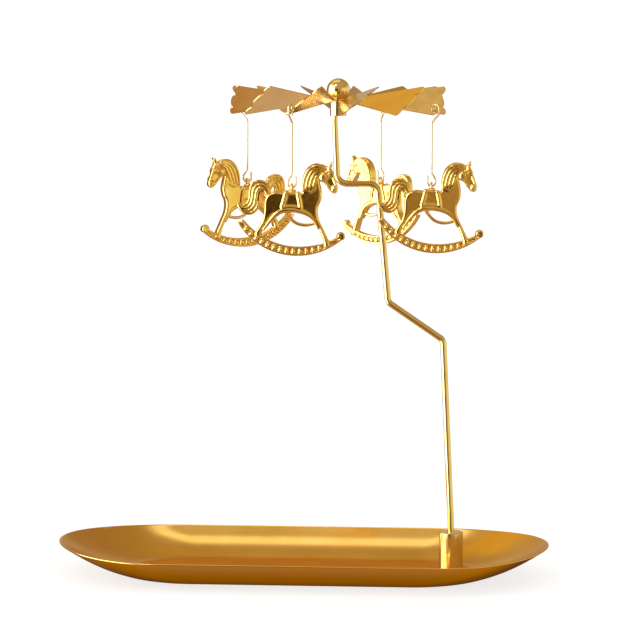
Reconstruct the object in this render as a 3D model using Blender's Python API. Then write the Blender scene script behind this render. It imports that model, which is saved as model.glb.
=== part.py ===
"""Candle carousel: a gilt tray with a bent rod, and on the rod's needle a bladed fan that
turns in the warm air and carries four rocking-horse pendants on wire hooks.

Frame: origin at the centre of the tray's underside, +X along the tray towards the rod's
socket, +Y to the back, +Z up. Dimensions below are in millimetres and become metres in
the mesh builders.
"""

import math

import bmesh
import bpy
from mathutils import Matrix, Vector

MM = 0.001
GAP = 0.3                      # clearance kept between touching pieces

# Tray: a flared stadium of sheet metal
TRAY_HEIGHT = 13.2             # at the straight sides
END_LIFT = 2.4                 # how much higher the rim rises at the two ends
SHEET = 0.8
RIM_STRAIGHT, RIM_RADIUS = 61.5, 53.5        # half straight length, end radius at the rim
FLOOR_STRAIGHT, FLOOR_RADIUS = 49.3, 30.5    # the same where the flat floor ends
WALL_PROFILE = ((0.0, 0.0), (0.1, 0.025), (0.25, 0.11), (0.5, 0.332), (0.75, 0.633), (1.0, 1.0))
END_LIFT_POWER = 2.5           # how late along the end the lift comes
END_STEPS = 14                 # facets round each end of the tray

# Socket, its screw, and the raised seat between them
SOCKET_X = 69.3
SOCKET_RADIUS = 5.65
SOCKET_TOP = 20.8
SOCKET_BORE_RADIUS = 1.8
SOCKET_BORE_FLOOR = 9.5
SEAT_TOP = 2.0
SEAT_RADIUS, SEAT_TOP_RADIUS = 6.5, 6.1
SCREW_HEAD_RADIUS, SCREW_SHANK_RADIUS = 2.6, 1.25
SCREW_HEAD_FACE, SCREW_HEAD_TOP, SCREW_TIP = 0.25, 1.6, 8.0

# Rod: corners of its centre line in the X-Z plane, with the bend radius at each
ROD_RADIUS = 1.5
ROD_FOOT = SOCKET_BORE_FLOOR + GAP
ROD_CORNERS = (
    (SOCKET_X, ROD_FOOT, 0.0),
    (SOCKET_X, SOCKET_TOP + 1.0, 12.0),
    (64.9, 110.9, 3.6),
    (39.1, 128.4, 3.6),
    (34.0, 183.4, 4.8),
    (15.2, 183.4, 4.8),
    (13.9, 212.5, 6.0),
)
NEEDLE_TIP = 226.5
NEEDLE_TIP_RADIUS = 0.3
NEEDLE_SHOULDER = 208.5        # height where the rod starts to taper to its needle

# Pivot cap: a ball above the fan and a skirted sleeve below it, on the carousel's axis
AXIS_X = 15.4
BALL_RADIUS, BALL_CENTRE = 5.4, 226.7
SLEEVE_RADIUS, SLEEVE_BOTTOM = 3.8, 214.7
SKIRT_BORE_RADIUS, SKIRT_BORE_TOP = 3.0, 220.4
NECK_RADIUS, NECK_BORE_RADIUS, NECK_TOP = 2.5, 1.8, 225.1
CUP_MOUTH_RADIUS, CUP_APEX_RADIUS = 1.2, 0.5

# Fan: a stamped star of blades, each twisted at its neck
BLADES = 12
BLADE_THICKNESS = 0.45
BLADE_PHASE = 14.4             # bearing of the first blade, degrees
BLADE_TILT = 36.4              # each blade rises counter-clockwise by this angle
HUB_RADIUS, HUB_THICKNESS = 8.0, 0.6
FAN_LEVEL = 222.0              # mid-height of the hub plate
NECK_START, NECK_END = 6.6, 11.0
NECK_WIDTH = 3.0
BLADE_CORNER_REACH, BLADE_TIP_WIDTH = 48.1, 21.5
LOBES = ((0.25, 1.5), (0.47, 2.1), (0.28, 1.6))   # share of the tip's width, height

# Hooks and horses, hung at four blades a quarter turn apart
HOOK_BEARINGS = (-22.8, 67.2, 157.2, 247.2)
HOOK_REACH = 47.4              # radius of the hook holes from the carousel's axis
HOLE_RADIUS = 1.0
WIRE_RADIUS = 0.45
EYE_WIDTH = 3.55               # width of the wire's eye round the blade's edge
EYE_TOP, EYE_SHORT_END = 2.7, -2.2           # heights from the blade's hole
EYE_RETURN, EYE_BOTTOM = -1.6, -5.4
HOOK_KINK, HOOK_SHOULDER, HOOK_OPEN_END = 5.8, 3.0, 4.8   # heights from the lower bend
NEARLY_ROUND = 0.98            # share of the full bend, so that two bends don't quite meet
HANG_LEVEL = 183.3             # height of the wire where a horse's ring hangs on it
HOOK_BEND_RADIUS = 1.8
EYE_CORNER_BEND, KINK_BEND, SHOULDER_BEND = 1.6, 1.4, 1.0
HOOK_TURNS = (180.0, 140.0, 8.0, 20.0)       # bearings the lower hooks open towards
HORSE_TURNS = (0.0, 140.0, 211.0, 0.0)      # bearings the horses look towards

# Horse casting, in its own X-Z plane with the hook's wire at the origin
RING_RADIUS, RING_TUBE = 1.65, 0.55
BODY_THICKNESS, TAIL_THICKNESS, ROCKER_THICKNESS = 4.4, 3.8, 3.8
RIM_BEVEL = 0.3                # chamfer round the body's, tail's and rocker's outlines
FOOT_REST_RADIUS = 0.75
ROCKER_CENTRE = (2.3, 1.1)
ROCKER_RADIUS = 31.8           # the running edge
ROCKER_START, ROCKER_END = 213.0, 311.5
ROCKER_REAR_WIDTH, ROCKER_MID_WIDTH, ROCKER_FRONT_WIDTH = 3.0, 4.2, 1.8
CURL_RADIUS = 1.7
CURL_LIFT = 0.85               # share of the band's end width, from its outer edge
CURL_START, CURL_SWEEP = 15.0, 205.0

BODY_OUTLINE = (
    (18.0, 11.6), (15.8, 9.2), (13.4, 10.2), (10.8, 10.3), (7.6, 8.4), (5.5, 4.6),
    (4.8, 0.8), (4.6, -2.2), (2.0, -2.5), (-3.0, -2.2), (-7.0, -1.8), (-10.4, -3.1),
    (-12.2, -6.0), (-12.4, -10.4), (-13.4, -15.2), (-16.4, -20.4), (-15.4, -22.4),
    (-13.9, -21.6), (-12.6, -17.6), (-9.2, -13.2), (-6.6, -11.3), (-3.4, -10.4),
    (2.0, -10.8), (6.8, -12.2), (10.0, -14.6), (13.0, -20.2), (15.2, -26.2),
    (17.4, -25.9), (14.3, -18.9), (12.0, -13.6), (11.7, -9.2), (12.9, -6.2),
    (13.5, -3.2), (13.1, 0.2), (12.6, 2.7), (14.3, 2.6), (16.4, -0.6), (18.6, -2.6),
    (20.3, -1.9), (20.6, 0.4), (19.4, 3.8), (18.6, 6.9), (17.7, 8.8),
)
TAIL_OUTLINE = (
    (-10.2, -4.4), (-10.9, -0.6), (-12.4, 2.0), (-15.0, 2.9), (-17.8, 1.6), (-19.0, -1.6),
    (-19.2, -5.0), (-20.4, -8.2), (-22.4, -8.9), (-24.5, -6.8), (-23.9, -9.8), (-21.8, -11.7),
    (-18.4, -12.3), (-15.8, -10.6), (-14.6, -7.2), (-14.1, -3.6), (-13.2, -2.0), (-12.2, -5.0),
)
FOOT_REST = ((-2.4, -10.2), (-1.0, -13.4), (2.0, -16.0), (5.8, -16.9), (9.6, -16.2), (11.6, -15.0))


# ---------------------------------------------------------------- mesh helpers

def make_material(name, colour, roughness, metallic=1.0):
    material = bpy.data.materials.new(name)
    material.use_nodes = True
    shader = material.node_tree.nodes["Principled BSDF"]
    shader.inputs["Base Color"].default_value = (*colour, 1.0)
    shader.inputs["Roughness"].default_value = roughness
    shader.inputs["Metallic"].default_value = metallic
    return material


def add_object(name, mesh, material, parent=None, smooth=True):
    """Put a mesh in the scene; its vertices are relative to its parent's origin."""
    mesh.materials.clear()
    mesh.materials.append(material)
    if smooth:
        mesh.shade_smooth()
        mesh.set_sharp_from_angle(angle=math.radians(35))
    obj = bpy.data.objects.new(name, mesh)
    bpy.context.scene.collection.objects.link(obj)
    obj.parent = parent
    return obj


def add_joint_empty(name, place, parent=None):
    """An empty on a joint's axis. Place is in millimetres, in the parent's frame."""
    empty = bpy.data.objects.new(name, None)
    empty.location = Vector(place) * MM
    empty.empty_display_size = 5 * MM
    bpy.context.scene.collection.objects.link(empty)
    empty.parent = parent
    return empty


def mesh_of(name, bm):
    bmesh.ops.recalc_face_normals(bm, faces=bm.faces)
    mesh = bpy.data.meshes.new(name)
    bm.to_mesh(mesh)
    bm.free()
    return mesh


def combine(name, base, tools, operation):
    """Boolean the tool meshes into the base mesh one by one and return the result."""
    obj = bpy.data.objects.new(name, base)
    bpy.context.scene.collection.objects.link(obj)
    helpers = []
    for index, tool in enumerate(tools):
        helper = bpy.data.objects.new(f"{name}_tool_{index}", tool)
        helper.hide_render = True
        helper.display_type = "WIRE"
        bpy.context.scene.collection.objects.link(helper)
        helpers.append(helper)
        modifier = obj.modifiers.new(f"tool_{index}", "BOOLEAN")
        modifier.operation = operation
        modifier.solver = "EXACT"
        modifier.object = helper
    bpy.context.view_layer.update()
    evaluated = obj.evaluated_get(bpy.context.evaluated_depsgraph_get())
    result = bpy.data.meshes.new_from_object(evaluated)
    result.name = name
    for item in (obj, *helpers):
        bpy.data.objects.remove(item)
    return result


def loft(name, rings, closed_tube=False):
    """Skin a row of equal rings of points (millimetres). Ends are capped, or joined."""
    bm = bmesh.new()
    rows = [[bm.verts.new(Vector(point) * MM) for point in ring] for ring in rings]
    pairs = list(zip(rows, rows[1:]))
    if closed_tube:
        pairs.append((rows[-1], rows[0]))
    for lower, upper in pairs:
        count = len(lower)
        for i in range(count):
            j = (i + 1) % count
            bm.faces.new((lower[i], lower[j], upper[j], upper[i]))
    if not closed_tube:
        bm.faces.new(rows[0])
        bm.faces.new(rows[-1])
    return mesh_of(name, bm)


def turned(name, profile, centre=(0.0, 0.0), sides=24):
    """A solid turned about a vertical axis. The profile is a row of (radius, height);
    points on the axis close the solid, and a profile clear of it closes on itself."""
    bm = bmesh.new()
    rows = []
    for radius, height in profile:
        if radius == 0.0:
            rows.append([bm.verts.new(Vector((*centre, height)) * MM)])
            continue
        ring = []
        for step in range(sides):
            angle = math.tau * step / sides
            point = (centre[0] + radius * math.cos(angle), centre[1] + radius * math.sin(angle))
            ring.append(bm.verts.new(Vector((*point, height)) * MM))
        rows.append(ring)
    pairs = list(zip(rows, rows[1:]))
    if len(rows[0]) > 1:
        pairs.append((rows[-1], rows[0]))
    for first, second in pairs:
        for i in range(sides):
            j = (i + 1) % sides
            corners = [first[i % len(first)], first[j % len(first)],
                       second[j % len(second)], second[i % len(second)]]
            bm.faces.new(list(dict.fromkeys(corners)))
    return mesh_of(name, bm)


def rounded_path(corners, steps=5):
    """A polyline through 3-D corners, each with a bend radius, bends drawn as arcs."""
    points = [Vector(corners[0][0])]
    for (before, _), (corner, radius), (after, _) in zip(corners, corners[1:], corners[2:]):
        corner = Vector(corner)
        back = (Vector(before) - corner).normalized()
        ahead = (Vector(after) - corner).normalized()
        half_turn = (math.pi - back.angle(ahead)) / 2
        if radius == 0.0 or half_turn < 1e-4:
            points.append(corner)
            continue
        start = corner + back * radius * math.tan(half_turn)
        centre = corner + (back + ahead).normalized() * radius / math.cos(half_turn)
        axis = back.cross(ahead).normalized()
        for step in range(steps + 1):
            turn = Matrix.Rotation(-2 * half_turn * step / steps, 3, axis)
            points.append(centre + turn @ (start - centre))
    points.append(Vector(corners[-1][0]))
    return points


def smooth_curve(points, steps, closed=False):
    """Catmull-Rom points through a row of hand-set points."""
    points = [Vector(p) for p in points]
    count = len(points)
    result = []
    for i in range(count if closed else count - 1):
        if closed:
            a, b, c, d = (points[(i + k) % count] for k in (-1, 0, 1, 2))
        else:
            a, b, c, d = (points[min(max(i + k, 0), count - 1)] for k in (-1, 0, 1, 2))
        for step in range(steps):
            t = step / steps
            result.append(0.5 * (2 * b + (c - a) * t + (2 * a - 5 * b + 4 * c - d) * t ** 2
                                 + (3 * b - a - 3 * c + d) * t ** 3))
    if not closed:
        result.append(points[-1])
    return result


def swept(name, path, radii, sides=8):
    """A round bar along a 3-D path, its section carried without twist."""
    if isinstance(radii, float):
        radii = [radii] * len(path)
    tangents = []
    for i in range(len(path)):
        before, after = path[max(i - 1, 0)], path[min(i + 1, len(path) - 1)]
        tangents.append((after - before).normalized())
    side = tangents[0].orthogonal().normalized()
    rings = []
    for i, (point, tangent, radius) in enumerate(zip(path, tangents, radii)):
        if i:
            turn = tangents[i - 1].rotation_difference(tangent)
            side = (turn @ side).normalized()
        across = tangent.cross(side)
        ring = []
        for step in range(sides):
            angle = math.tau * step / sides
            ring.append(point + (side * math.cos(angle) + across * math.sin(angle)) * radius)
        rings.append(ring)
    return loft(name, rings)


def inset_outline(outline, distance):
    """Move a closed X-Z outline inwards along its corners' normals."""
    area = sum(a[0] * b[1] - b[0] * a[1] for a, b in zip(outline, outline[1:] + outline[:1]))
    inward = 1.0 if area > 0 else -1.0
    moved = []
    for i, here in enumerate(outline):
        here = Vector(here)
        before, after = Vector(outline[i - 1]), Vector(outline[(i + 1) % len(outline)])
        first, second = (here - before).normalized(), (after - here).normalized()
        normal = Vector((-(first + second)[1], (first + second)[0])).normalized() * inward
        moved.append(here + normal * distance)
    return moved


def slab(name, outline, thickness):
    """A flat plate with chamfered rims, standing in the X-Z plane about Y = 0."""
    outline = [Vector(point) for point in outline]
    small = inset_outline(outline, RIM_BEVEL)
    half = thickness / 2
    flank = half - RIM_BEVEL
    levels = ((-half, small), (-flank, outline), (flank, outline), (half, small))
    mesh = loft(name, [[(p[0], y, p[1]) for p in ring] for y, ring in levels])
    bm = bmesh.new()
    bm.from_mesh(mesh)
    bmesh.ops.triangulate(bm, faces=[face for face in bm.faces if len(face.verts) == 4])
    bm.to_mesh(mesh)
    bm.free()
    return mesh


# ---------------------------------------------------------------- tray and rod

def stadium(straight, radius, height):
    """A ring of points round a stadium, counter-clockwise from the right-hand front."""
    ring = []
    for side, first_angle in ((1, -90.0), (-1, 90.0)):
        for step in range(END_STEPS + 1):
            angle = math.radians(first_angle + 180.0 * step / END_STEPS)
            ring.append((side * straight + radius * math.cos(angle),
                         radius * math.sin(angle), height))
    return ring


def tray_ring(outward, up, level=0.0, inner_offset=0.0):
    """One ring of the tray's wall: outward and up run from 0 at the floor to 1 at the rim,
    and the ring rises towards the tray's ends."""
    straight = FLOOR_STRAIGHT + (RIM_STRAIGHT - FLOOR_STRAIGHT) * outward
    radius = FLOOR_RADIUS + (RIM_RADIUS - FLOOR_RADIUS) * outward - inner_offset
    height = up * (TRAY_HEIGHT - SHEET) + level
    return [(x, y, z + END_LIFT * up * (max(abs(x) - straight, 0.0) / radius) ** END_LIFT_POWER)
            for x, y, z in stadium(straight, radius, height)]


def build_tray(material):
    outside = [tray_ring(out, up) for out, up in WALL_PROFILE]
    inside = [tray_ring(out, up, SHEET, SHEET * 0.35) for out, up in WALL_PROFILE]
    sheet = loft("tray_sheet", outside + inside[::-1])
    centre = (SOCKET_X, 0.0)
    seat = turned("seat", ((0.0, SHEET / 2), (SEAT_RADIUS, SHEET / 2), (SEAT_RADIUS, SHEET),
                           (SEAT_TOP_RADIUS, SEAT_TOP), (0.0, SEAT_TOP)), centre, 28)
    sheet = combine("tray_raised", sheet, [seat], "UNION")
    sink_radius = SCREW_HEAD_RADIUS + GAP
    hole_radius = SCREW_SHANK_RADIUS + GAP
    sink = turned("screw_sink", ((0.0, -1.0), (sink_radius, -1.0), (sink_radius, SCREW_HEAD_FACE),
                                 (hole_radius, SCREW_HEAD_TOP), (hole_radius, SEAT_TOP + 1.0),
                                 (0.0, SEAT_TOP + 1.0)), centre)
    add_object("tray", combine("tray", sheet, [sink], "DIFFERENCE"), material)


def build_socket(material):
    thread = SCREW_SHANK_RADIUS + GAP
    foot = SEAT_TOP + GAP
    profile = (
        (0.0, SCREW_TIP + GAP), (thread, SCREW_TIP + GAP), (thread, foot), (SOCKET_RADIUS, foot),
        (SOCKET_RADIUS, SOCKET_TOP - 0.4), (SOCKET_RADIUS - 0.4, SOCKET_TOP),
        (SOCKET_BORE_RADIUS + 0.3, SOCKET_TOP), (SOCKET_BORE_RADIUS, SOCKET_TOP - 0.3),
        (SOCKET_BORE_RADIUS, SOCKET_BORE_FLOOR), (0.0, SOCKET_BORE_FLOOR),
    )
    add_object("rod_socket", turned("rod_socket", profile, (SOCKET_X, 0.0), 28), material)


def build_screw(material):
    """A countersunk cross-head screw, driven up through the tray into the socket."""
    body = turned("screw_body", (
        (0.0, SCREW_HEAD_FACE), (SCREW_HEAD_RADIUS, SCREW_HEAD_FACE),
        (SCREW_SHANK_RADIUS, SCREW_HEAD_TOP), (SCREW_SHANK_RADIUS, SCREW_TIP - 0.5),
        (SCREW_SHANK_RADIUS - 0.5, SCREW_TIP), (0.0, SCREW_TIP)), (SOCKET_X, 0.0), 20)
    slots = []
    arm, half_width, depth = 1.3, 0.28, 0.8
    for index, (reach_x, reach_y) in enumerate(((arm, half_width), (half_width, arm))):
        ring = ((reach_x, reach_y), (-reach_x, reach_y), (-reach_x, -reach_y), (reach_x, -reach_y))
        levels = (SCREW_HEAD_FACE - 1.0, SCREW_HEAD_FACE + depth)
        slots.append(loft(f"slot_{index}", [[(SOCKET_X + x, y, z) for x, y in ring] for z in levels]))
    add_object("base_screw", combine("base_screw", body, slots, "DIFFERENCE"), material)


def build_rod(material, swivel):
    corners = [((x, 0.0, z), radius) for x, z, radius in ROD_CORNERS]
    path = rounded_path(corners + [((AXIS_X, 0.0, NEEDLE_TIP), 0.0)])
    needle = [path[-2].lerp(path[-1], share) for share in (0.5, 0.93)]
    path = path[:-1] + needle + path[-1:]
    radii = []
    for point in path:
        share = max(0.0, (point.z - NEEDLE_SHOULDER) / (NEEDLE_TIP - NEEDLE_SHOULDER))
        radii.append(ROD_RADIUS + (NEEDLE_TIP_RADIUS - ROD_RADIUS) * share)
    mesh = swept("rod", [point - Vector((SOCKET_X, 0.0, ROD_FOOT)) for point in path], radii, 12)
    add_object("rod", mesh, material, swivel)


# ---------------------------------------------------------------- carousel

def build_pivot(ball_material, sleeve_material, axis):
    """The ball screws on to the sleeve's neck and clamps the fan's hub between them."""
    base = FAN_LEVEL + HUB_THICKNESS / 2 + GAP
    flat_angle = math.asin((base - BALL_CENTRE) / BALL_RADIUS)
    dome = []
    steps = 12
    for step in range(steps + 1):
        angle = flat_angle + (math.pi / 2 - flat_angle) * step / steps
        radius = 0.0 if step == steps else BALL_RADIUS * math.cos(angle)
        dome.append((radius, BALL_CENTRE + BALL_RADIUS * math.sin(angle)))
    bore = NECK_RADIUS + GAP
    cup_mouth = NECK_TOP + GAP
    cup_apex = NEEDLE_TIP + GAP
    inside = [(0.0, cup_apex), (CUP_APEX_RADIUS, cup_apex), (CUP_MOUTH_RADIUS, cup_mouth),
              (bore, cup_mouth), (bore, base)]
    ball = [(radius, height - NEEDLE_TIP) for radius, height in inside + dome]
    add_object("pivot_ball", turned("pivot_ball", ball), ball_material, axis)

    shoulder = FAN_LEVEL - HUB_THICKNESS / 2 - GAP
    profile = (
        (SKIRT_BORE_RADIUS, SLEEVE_BOTTOM), (SLEEVE_RADIUS, SLEEVE_BOTTOM),
        (SLEEVE_RADIUS, shoulder), (NECK_RADIUS, shoulder), (NECK_RADIUS, NECK_TOP),
        (NECK_BORE_RADIUS, NECK_TOP), (NECK_BORE_RADIUS, SKIRT_BORE_TOP),
        (SKIRT_BORE_RADIUS, SKIRT_BORE_TOP),
    )
    sleeve = [(radius, height - NEEDLE_TIP) for radius, height in profile]
    add_object("pivot_sleeve", turned("pivot_sleeve", sleeve), sleeve_material, axis)


def lobed_tip():
    """Points across a blade's tip, from its low corner to its high one: three lobes."""
    points = []
    left = -BLADE_TIP_WIDTH / 2
    for share, height in LOBES:
        width = share * BLADE_TIP_WIDTH
        steps = 4 if share < 0.4 else 6
        for step in range(steps):
            turn = math.pi * (step + 0.5) / steps
            across = left + width * (1 - math.cos(turn)) / 2
            points.append((across, BLADE_CORNER_REACH + height * math.sin(turn)))
        left += width
    return points


def blade_mesh(bearing):
    """One blade: a neck twisted from flat to the blade's tilt, then a flat lobed panel."""
    stations = 4
    outline_rows = []
    for step in range(stations + 1):
        share = step / stations
        reach = NECK_START + (NECK_END - NECK_START) * share
        outline_rows.append((reach, NECK_WIDTH, BLADE_TILT * share))
    bm = bmesh.new()
    spin = Matrix.Rotation(math.radians(bearing), 3, "Z")

    def vert(reach, across, tilt, side):
        lean = Matrix.Rotation(math.radians(tilt), 3, "X")
        local = lean @ Vector((0.0, across, side * BLADE_THICKNESS / 2))
        return bm.verts.new((spin @ (Vector((reach, 0.0, 0.0)) + local)) * MM)

    rows = []
    for reach, width, tilt in outline_rows:
        rows.append([vert(reach, -width / 2, tilt, -1), vert(reach, width / 2, tilt, -1),
                     vert(reach, width / 2, tilt, 1), vert(reach, -width / 2, tilt, 1)])
    bm.faces.new(rows[0])
    for lower, upper in zip(rows, rows[1:]):
        for i in range(4):
            j = (i + 1) % 4
            bm.faces.new((lower[i], lower[j], upper[j], upper[i]))
    tip = lobed_tip()
    under = [vert(reach, across, BLADE_TILT, -1) for across, reach in tip]
    over = [vert(reach, across, BLADE_TILT, 1) for across, reach in tip]
    low_under, high_under, high_over, low_over = rows[-1]
    bm.faces.new([low_under, *under, high_under])
    bm.faces.new([low_over, *over, high_over])
    edge_under = [low_under, *under, high_under]
    edge_over = [low_over, *over, high_over]
    for i in range(len(edge_under) - 1):
        bm.faces.new((edge_under[i], edge_under[i + 1], edge_over[i + 1], edge_over[i]))
    return mesh_of("blade", bm)


def build_fan(material, axis):
    level = FAN_LEVEL - NEEDLE_TIP
    half = HUB_THICKNESS / 2
    bore = NECK_RADIUS + GAP
    hub = turned("hub", ((bore, -half), (HUB_RADIUS, -half), (HUB_RADIUS, half), (bore, half)),
                 sides=36)
    blades = [blade_mesh(BLADE_PHASE + 360.0 * k / BLADES) for k in range(BLADES)]
    fan = combine("fan_star", hub, blades, "UNION")
    drills = []
    for bearing in HOOK_BEARINGS:
        angle = math.radians(bearing)
        centre = (HOOK_REACH * math.cos(angle), HOOK_REACH * math.sin(angle))
        drills.append(turned("drill", ((0.0, -12.0), (HOLE_RADIUS, -12.0),
                                       (HOLE_RADIUS, 4.0), (0.0, 4.0)), centre, 12))
    fan = combine("fan", fan, drills, "DIFFERENCE")
    fan.transform(Matrix.Translation((0.0, 0.0, level * MM)))
    add_object("fan", fan, material, axis)


def hook_hole(bearing):
    """Centre of a hook's hole in its blade, from the tilt of the blade there."""
    off_centre = (bearing - BLADE_PHASE + 180.0 / BLADES) % (360.0 / BLADES) - 180.0 / BLADES
    rise = HOOK_REACH * math.sin(math.radians(off_centre)) * math.tan(math.radians(BLADE_TILT))
    angle = math.radians(bearing)
    return Vector((AXIS_X + HOOK_REACH * math.cos(angle), HOOK_REACH * math.sin(angle),
                   FAN_LEVEL + rise))


def hook_path(bearing, open_bearing, drop):
    """The wire, from its short end under the blade, through the hole, round the blade's
    outer edge, down the shank and round the lower hook. The blade hole is the origin."""
    out = Vector((math.cos(math.radians(bearing)), math.sin(math.radians(bearing)), 0.0))
    opening = Vector((math.cos(math.radians(open_bearing)), math.sin(math.radians(open_bearing)), 0.0))
    eye_bend = EYE_WIDTH / 2 * NEARLY_ROUND
    hook_bend = HOOK_BEND_RADIUS * NEARLY_ROUND

    def at(outward, sideways, height):
        return out * outward + opening * sideways + Vector((0.0, 0.0, height))

    corners = [
        (at(0.0, 0.0, EYE_SHORT_END), 0.0),
        (at(0.0, 0.0, EYE_TOP), eye_bend),
        (at(EYE_WIDTH, 0.0, EYE_TOP), eye_bend),
        (at(EYE_WIDTH, 0.0, EYE_RETURN), EYE_CORNER_BEND),
        (at(0.0, 0.0, EYE_BOTTOM), EYE_CORNER_BEND),
        (at(0.0, 0.0, HOOK_KINK - drop), KINK_BEND),
        (at(0.0, -HOOK_BEND_RADIUS, HOOK_SHOULDER - drop), SHOULDER_BEND),
        (at(0.0, -HOOK_BEND_RADIUS, -drop), hook_bend),
        (at(0.0, HOOK_BEND_RADIUS, -drop), hook_bend),
        (at(0.0, HOOK_BEND_RADIUS, HOOK_OPEN_END - drop), 0.0),
    ]
    return rounded_path(corners, 4)


def rocker_outline():
    """The rocker's crescent: its running edge, the curled front end and the inner edge."""
    outer, inner = [], []
    steps = 16
    for step in range(steps + 1):
        share = step / steps
        angle = math.radians(ROCKER_START + (ROCKER_END - ROCKER_START) * share)
        end_width = ROCKER_REAR_WIDTH if share < 0.5 else ROCKER_FRONT_WIDTH
        width = end_width + (ROCKER_MID_WIDTH - end_width) * math.sin(math.pi * share) ** 0.7
        for row, radius in ((outer, ROCKER_RADIUS), (inner, ROCKER_RADIUS - width)):
            row.append((ROCKER_CENTRE[0] + radius * math.cos(angle),
                        ROCKER_CENTRE[1] + radius * math.sin(angle)))
    end_outer, end_inner = Vector(outer[-1]), Vector(inner[-1])
    curl_centre = end_outer.lerp(end_inner, CURL_LIFT)
    first = (end_outer - curl_centre).angle_signed(Vector((1.0, 0.0)))
    curl = []
    for step in range(1, 8):
        angle = first + math.radians(CURL_START + CURL_SWEEP * step / 8)
        curl.append(curl_centre + Vector((math.cos(angle), math.sin(angle))) * CURL_RADIUS)
    return [Vector(point) for point in outer] + curl + [Vector(point) for point in inner[::-1]]


def horse_mesh():
    """The whole casting: body, head and legs, tail, rocker, foot rest and hanging ring."""
    body = slab("horse_body", smooth_curve(BODY_OUTLINE, 2, True), BODY_THICKNESS)
    tail = slab("horse_tail", smooth_curve(TAIL_OUTLINE, 2, True), TAIL_THICKNESS)
    rocker = slab("horse_rocker", rocker_outline(), ROCKER_THICKNESS)
    rest_path = [Vector((x, 0.0, z)) for x, z in smooth_curve(FOOT_REST, 2)]
    rest = swept("horse_foot_rest", rest_path, FOOT_REST_RADIUS, 8)
    ring_level = WIRE_RADIUS + GAP - (RING_RADIUS - RING_TUBE)
    rings = []
    for step in range(14):
        angle = math.tau * step / 14
        outward = Vector((0.0, math.cos(angle), math.sin(angle)))
        centre = Vector((0.0, 0.0, ring_level)) + outward * RING_RADIUS
        rings.append([centre + outward * RING_TUBE * math.cos(turn)
                      + Vector((RING_TUBE * math.sin(turn), 0.0, 0.0))
                      for turn in (math.tau * k / 8 for k in range(8))])
    ring = loft("horse_ring", rings, closed_tube=True)
    return combine("horse", body, [tail, rocker, rest, ring], "UNION")


def build_hooks_and_horses(wire_material, horse_material, axis, axis_place):
    casting = horse_mesh()
    for k, bearing in enumerate(HOOK_BEARINGS):
        hole = hook_hole(bearing)
        drop = hole.z - HANG_LEVEL
        swing = add_joint_empty(f"hook_{k + 1}_swing", hole - axis_place, axis)
        wire = swept(f"hook_{k + 1}", hook_path(bearing, HOOK_TURNS[k], drop), WIRE_RADIUS, 8)
        add_object(f"hook_{k + 1}", wire, wire_material, swing)
        horse = add_object(f"horse_{k + 1}", casting, horse_material, swing)
        horse.location = Vector((0.0, 0.0, -drop)) * MM
        horse.rotation_euler = (0.0, 0.0, math.radians(HORSE_TURNS[k]))


# ---------------------------------------------------------------- assembly

def main():
    for obj in list(bpy.data.objects):
        bpy.data.objects.remove(obj)
    satin_gold = make_material("satin_gold", (0.74, 0.46, 0.15), 0.30)
    bright_brass = make_material("bright_brass", (0.88, 0.66, 0.32), 0.14)
    fan_gold = make_material("fan_gold", (0.80, 0.53, 0.20), 0.26)
    wire_gold = make_material("wire_gold", (0.86, 0.72, 0.42), 0.22)
    cast_gold = make_material("cast_gold", (0.83, 0.54, 0.16), 0.16)
    zinc = make_material("zinc_screw", (0.62, 0.60, 0.55), 0.35)

    build_tray(satin_gold)
    build_socket(bright_brass)
    build_screw(zinc)
    swivel_place = Vector((SOCKET_X, 0.0, ROD_FOOT))
    swivel = add_joint_empty("rod_swivel", swivel_place)
    build_rod(wire_gold, swivel)
    axis_place = Vector((AXIS_X, 0.0, NEEDLE_TIP))
    axis = add_joint_empty("carousel_axis", axis_place - swivel_place, swivel)
    build_pivot(bright_brass, fan_gold, axis)
    build_fan(fan_gold, axis)
    build_hooks_and_horses(wire_gold, cast_gold, axis, axis_place)


main()
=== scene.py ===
"""Looks of the candle carousel: a satin gilt tray, turned brass, a gilt rod, a stamped fan,
champagne wire hooks and four cast rocking horses, on a pale studio floor.

Sizes are in millimetres, repeated from the part's source, with the origin under the tray's
middle, +X towards the socket, +Y back and +Z up. The mesh builders turn them into metres.
Angles are in degrees.
"""

from math import asin, atan2, ceil, cos, degrees, hypot, pi, radians, sin, tan, tau

import bmesh
import bpy
import numpy as np
from mathutils import Matrix, Vector


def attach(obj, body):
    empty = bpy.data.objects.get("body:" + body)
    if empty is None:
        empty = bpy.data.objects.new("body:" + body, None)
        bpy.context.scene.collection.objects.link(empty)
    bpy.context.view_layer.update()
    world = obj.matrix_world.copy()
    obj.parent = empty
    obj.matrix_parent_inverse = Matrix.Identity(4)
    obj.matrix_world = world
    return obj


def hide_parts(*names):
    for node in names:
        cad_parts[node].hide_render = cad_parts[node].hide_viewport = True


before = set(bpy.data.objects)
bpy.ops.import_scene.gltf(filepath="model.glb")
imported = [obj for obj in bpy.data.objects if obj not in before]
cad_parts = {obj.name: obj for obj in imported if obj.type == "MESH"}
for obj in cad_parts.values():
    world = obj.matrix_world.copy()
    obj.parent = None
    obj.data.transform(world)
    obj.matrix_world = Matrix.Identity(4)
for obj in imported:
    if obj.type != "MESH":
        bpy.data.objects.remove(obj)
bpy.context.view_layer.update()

MM = 0.001
GAP = 0.3

# Tray: its wall's section from the floor's edge to the rim is given in shares of both
TRAY_HEIGHT = 13.2
END_LIFT, END_LIFT_POWER = 2.4, 2.5
SHEET = 0.8
RIM_STRAIGHT, RIM_RADIUS = 61.5, 53.5
FLOOR_STRAIGHT, FLOOR_RADIUS = 49.3, 30.5
WALL_PROFILE = ((0.0, 0.0), (0.1, 0.025), (0.25, 0.11), (0.5, 0.332), (0.75, 0.633), (1.0, 1.0))

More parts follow.
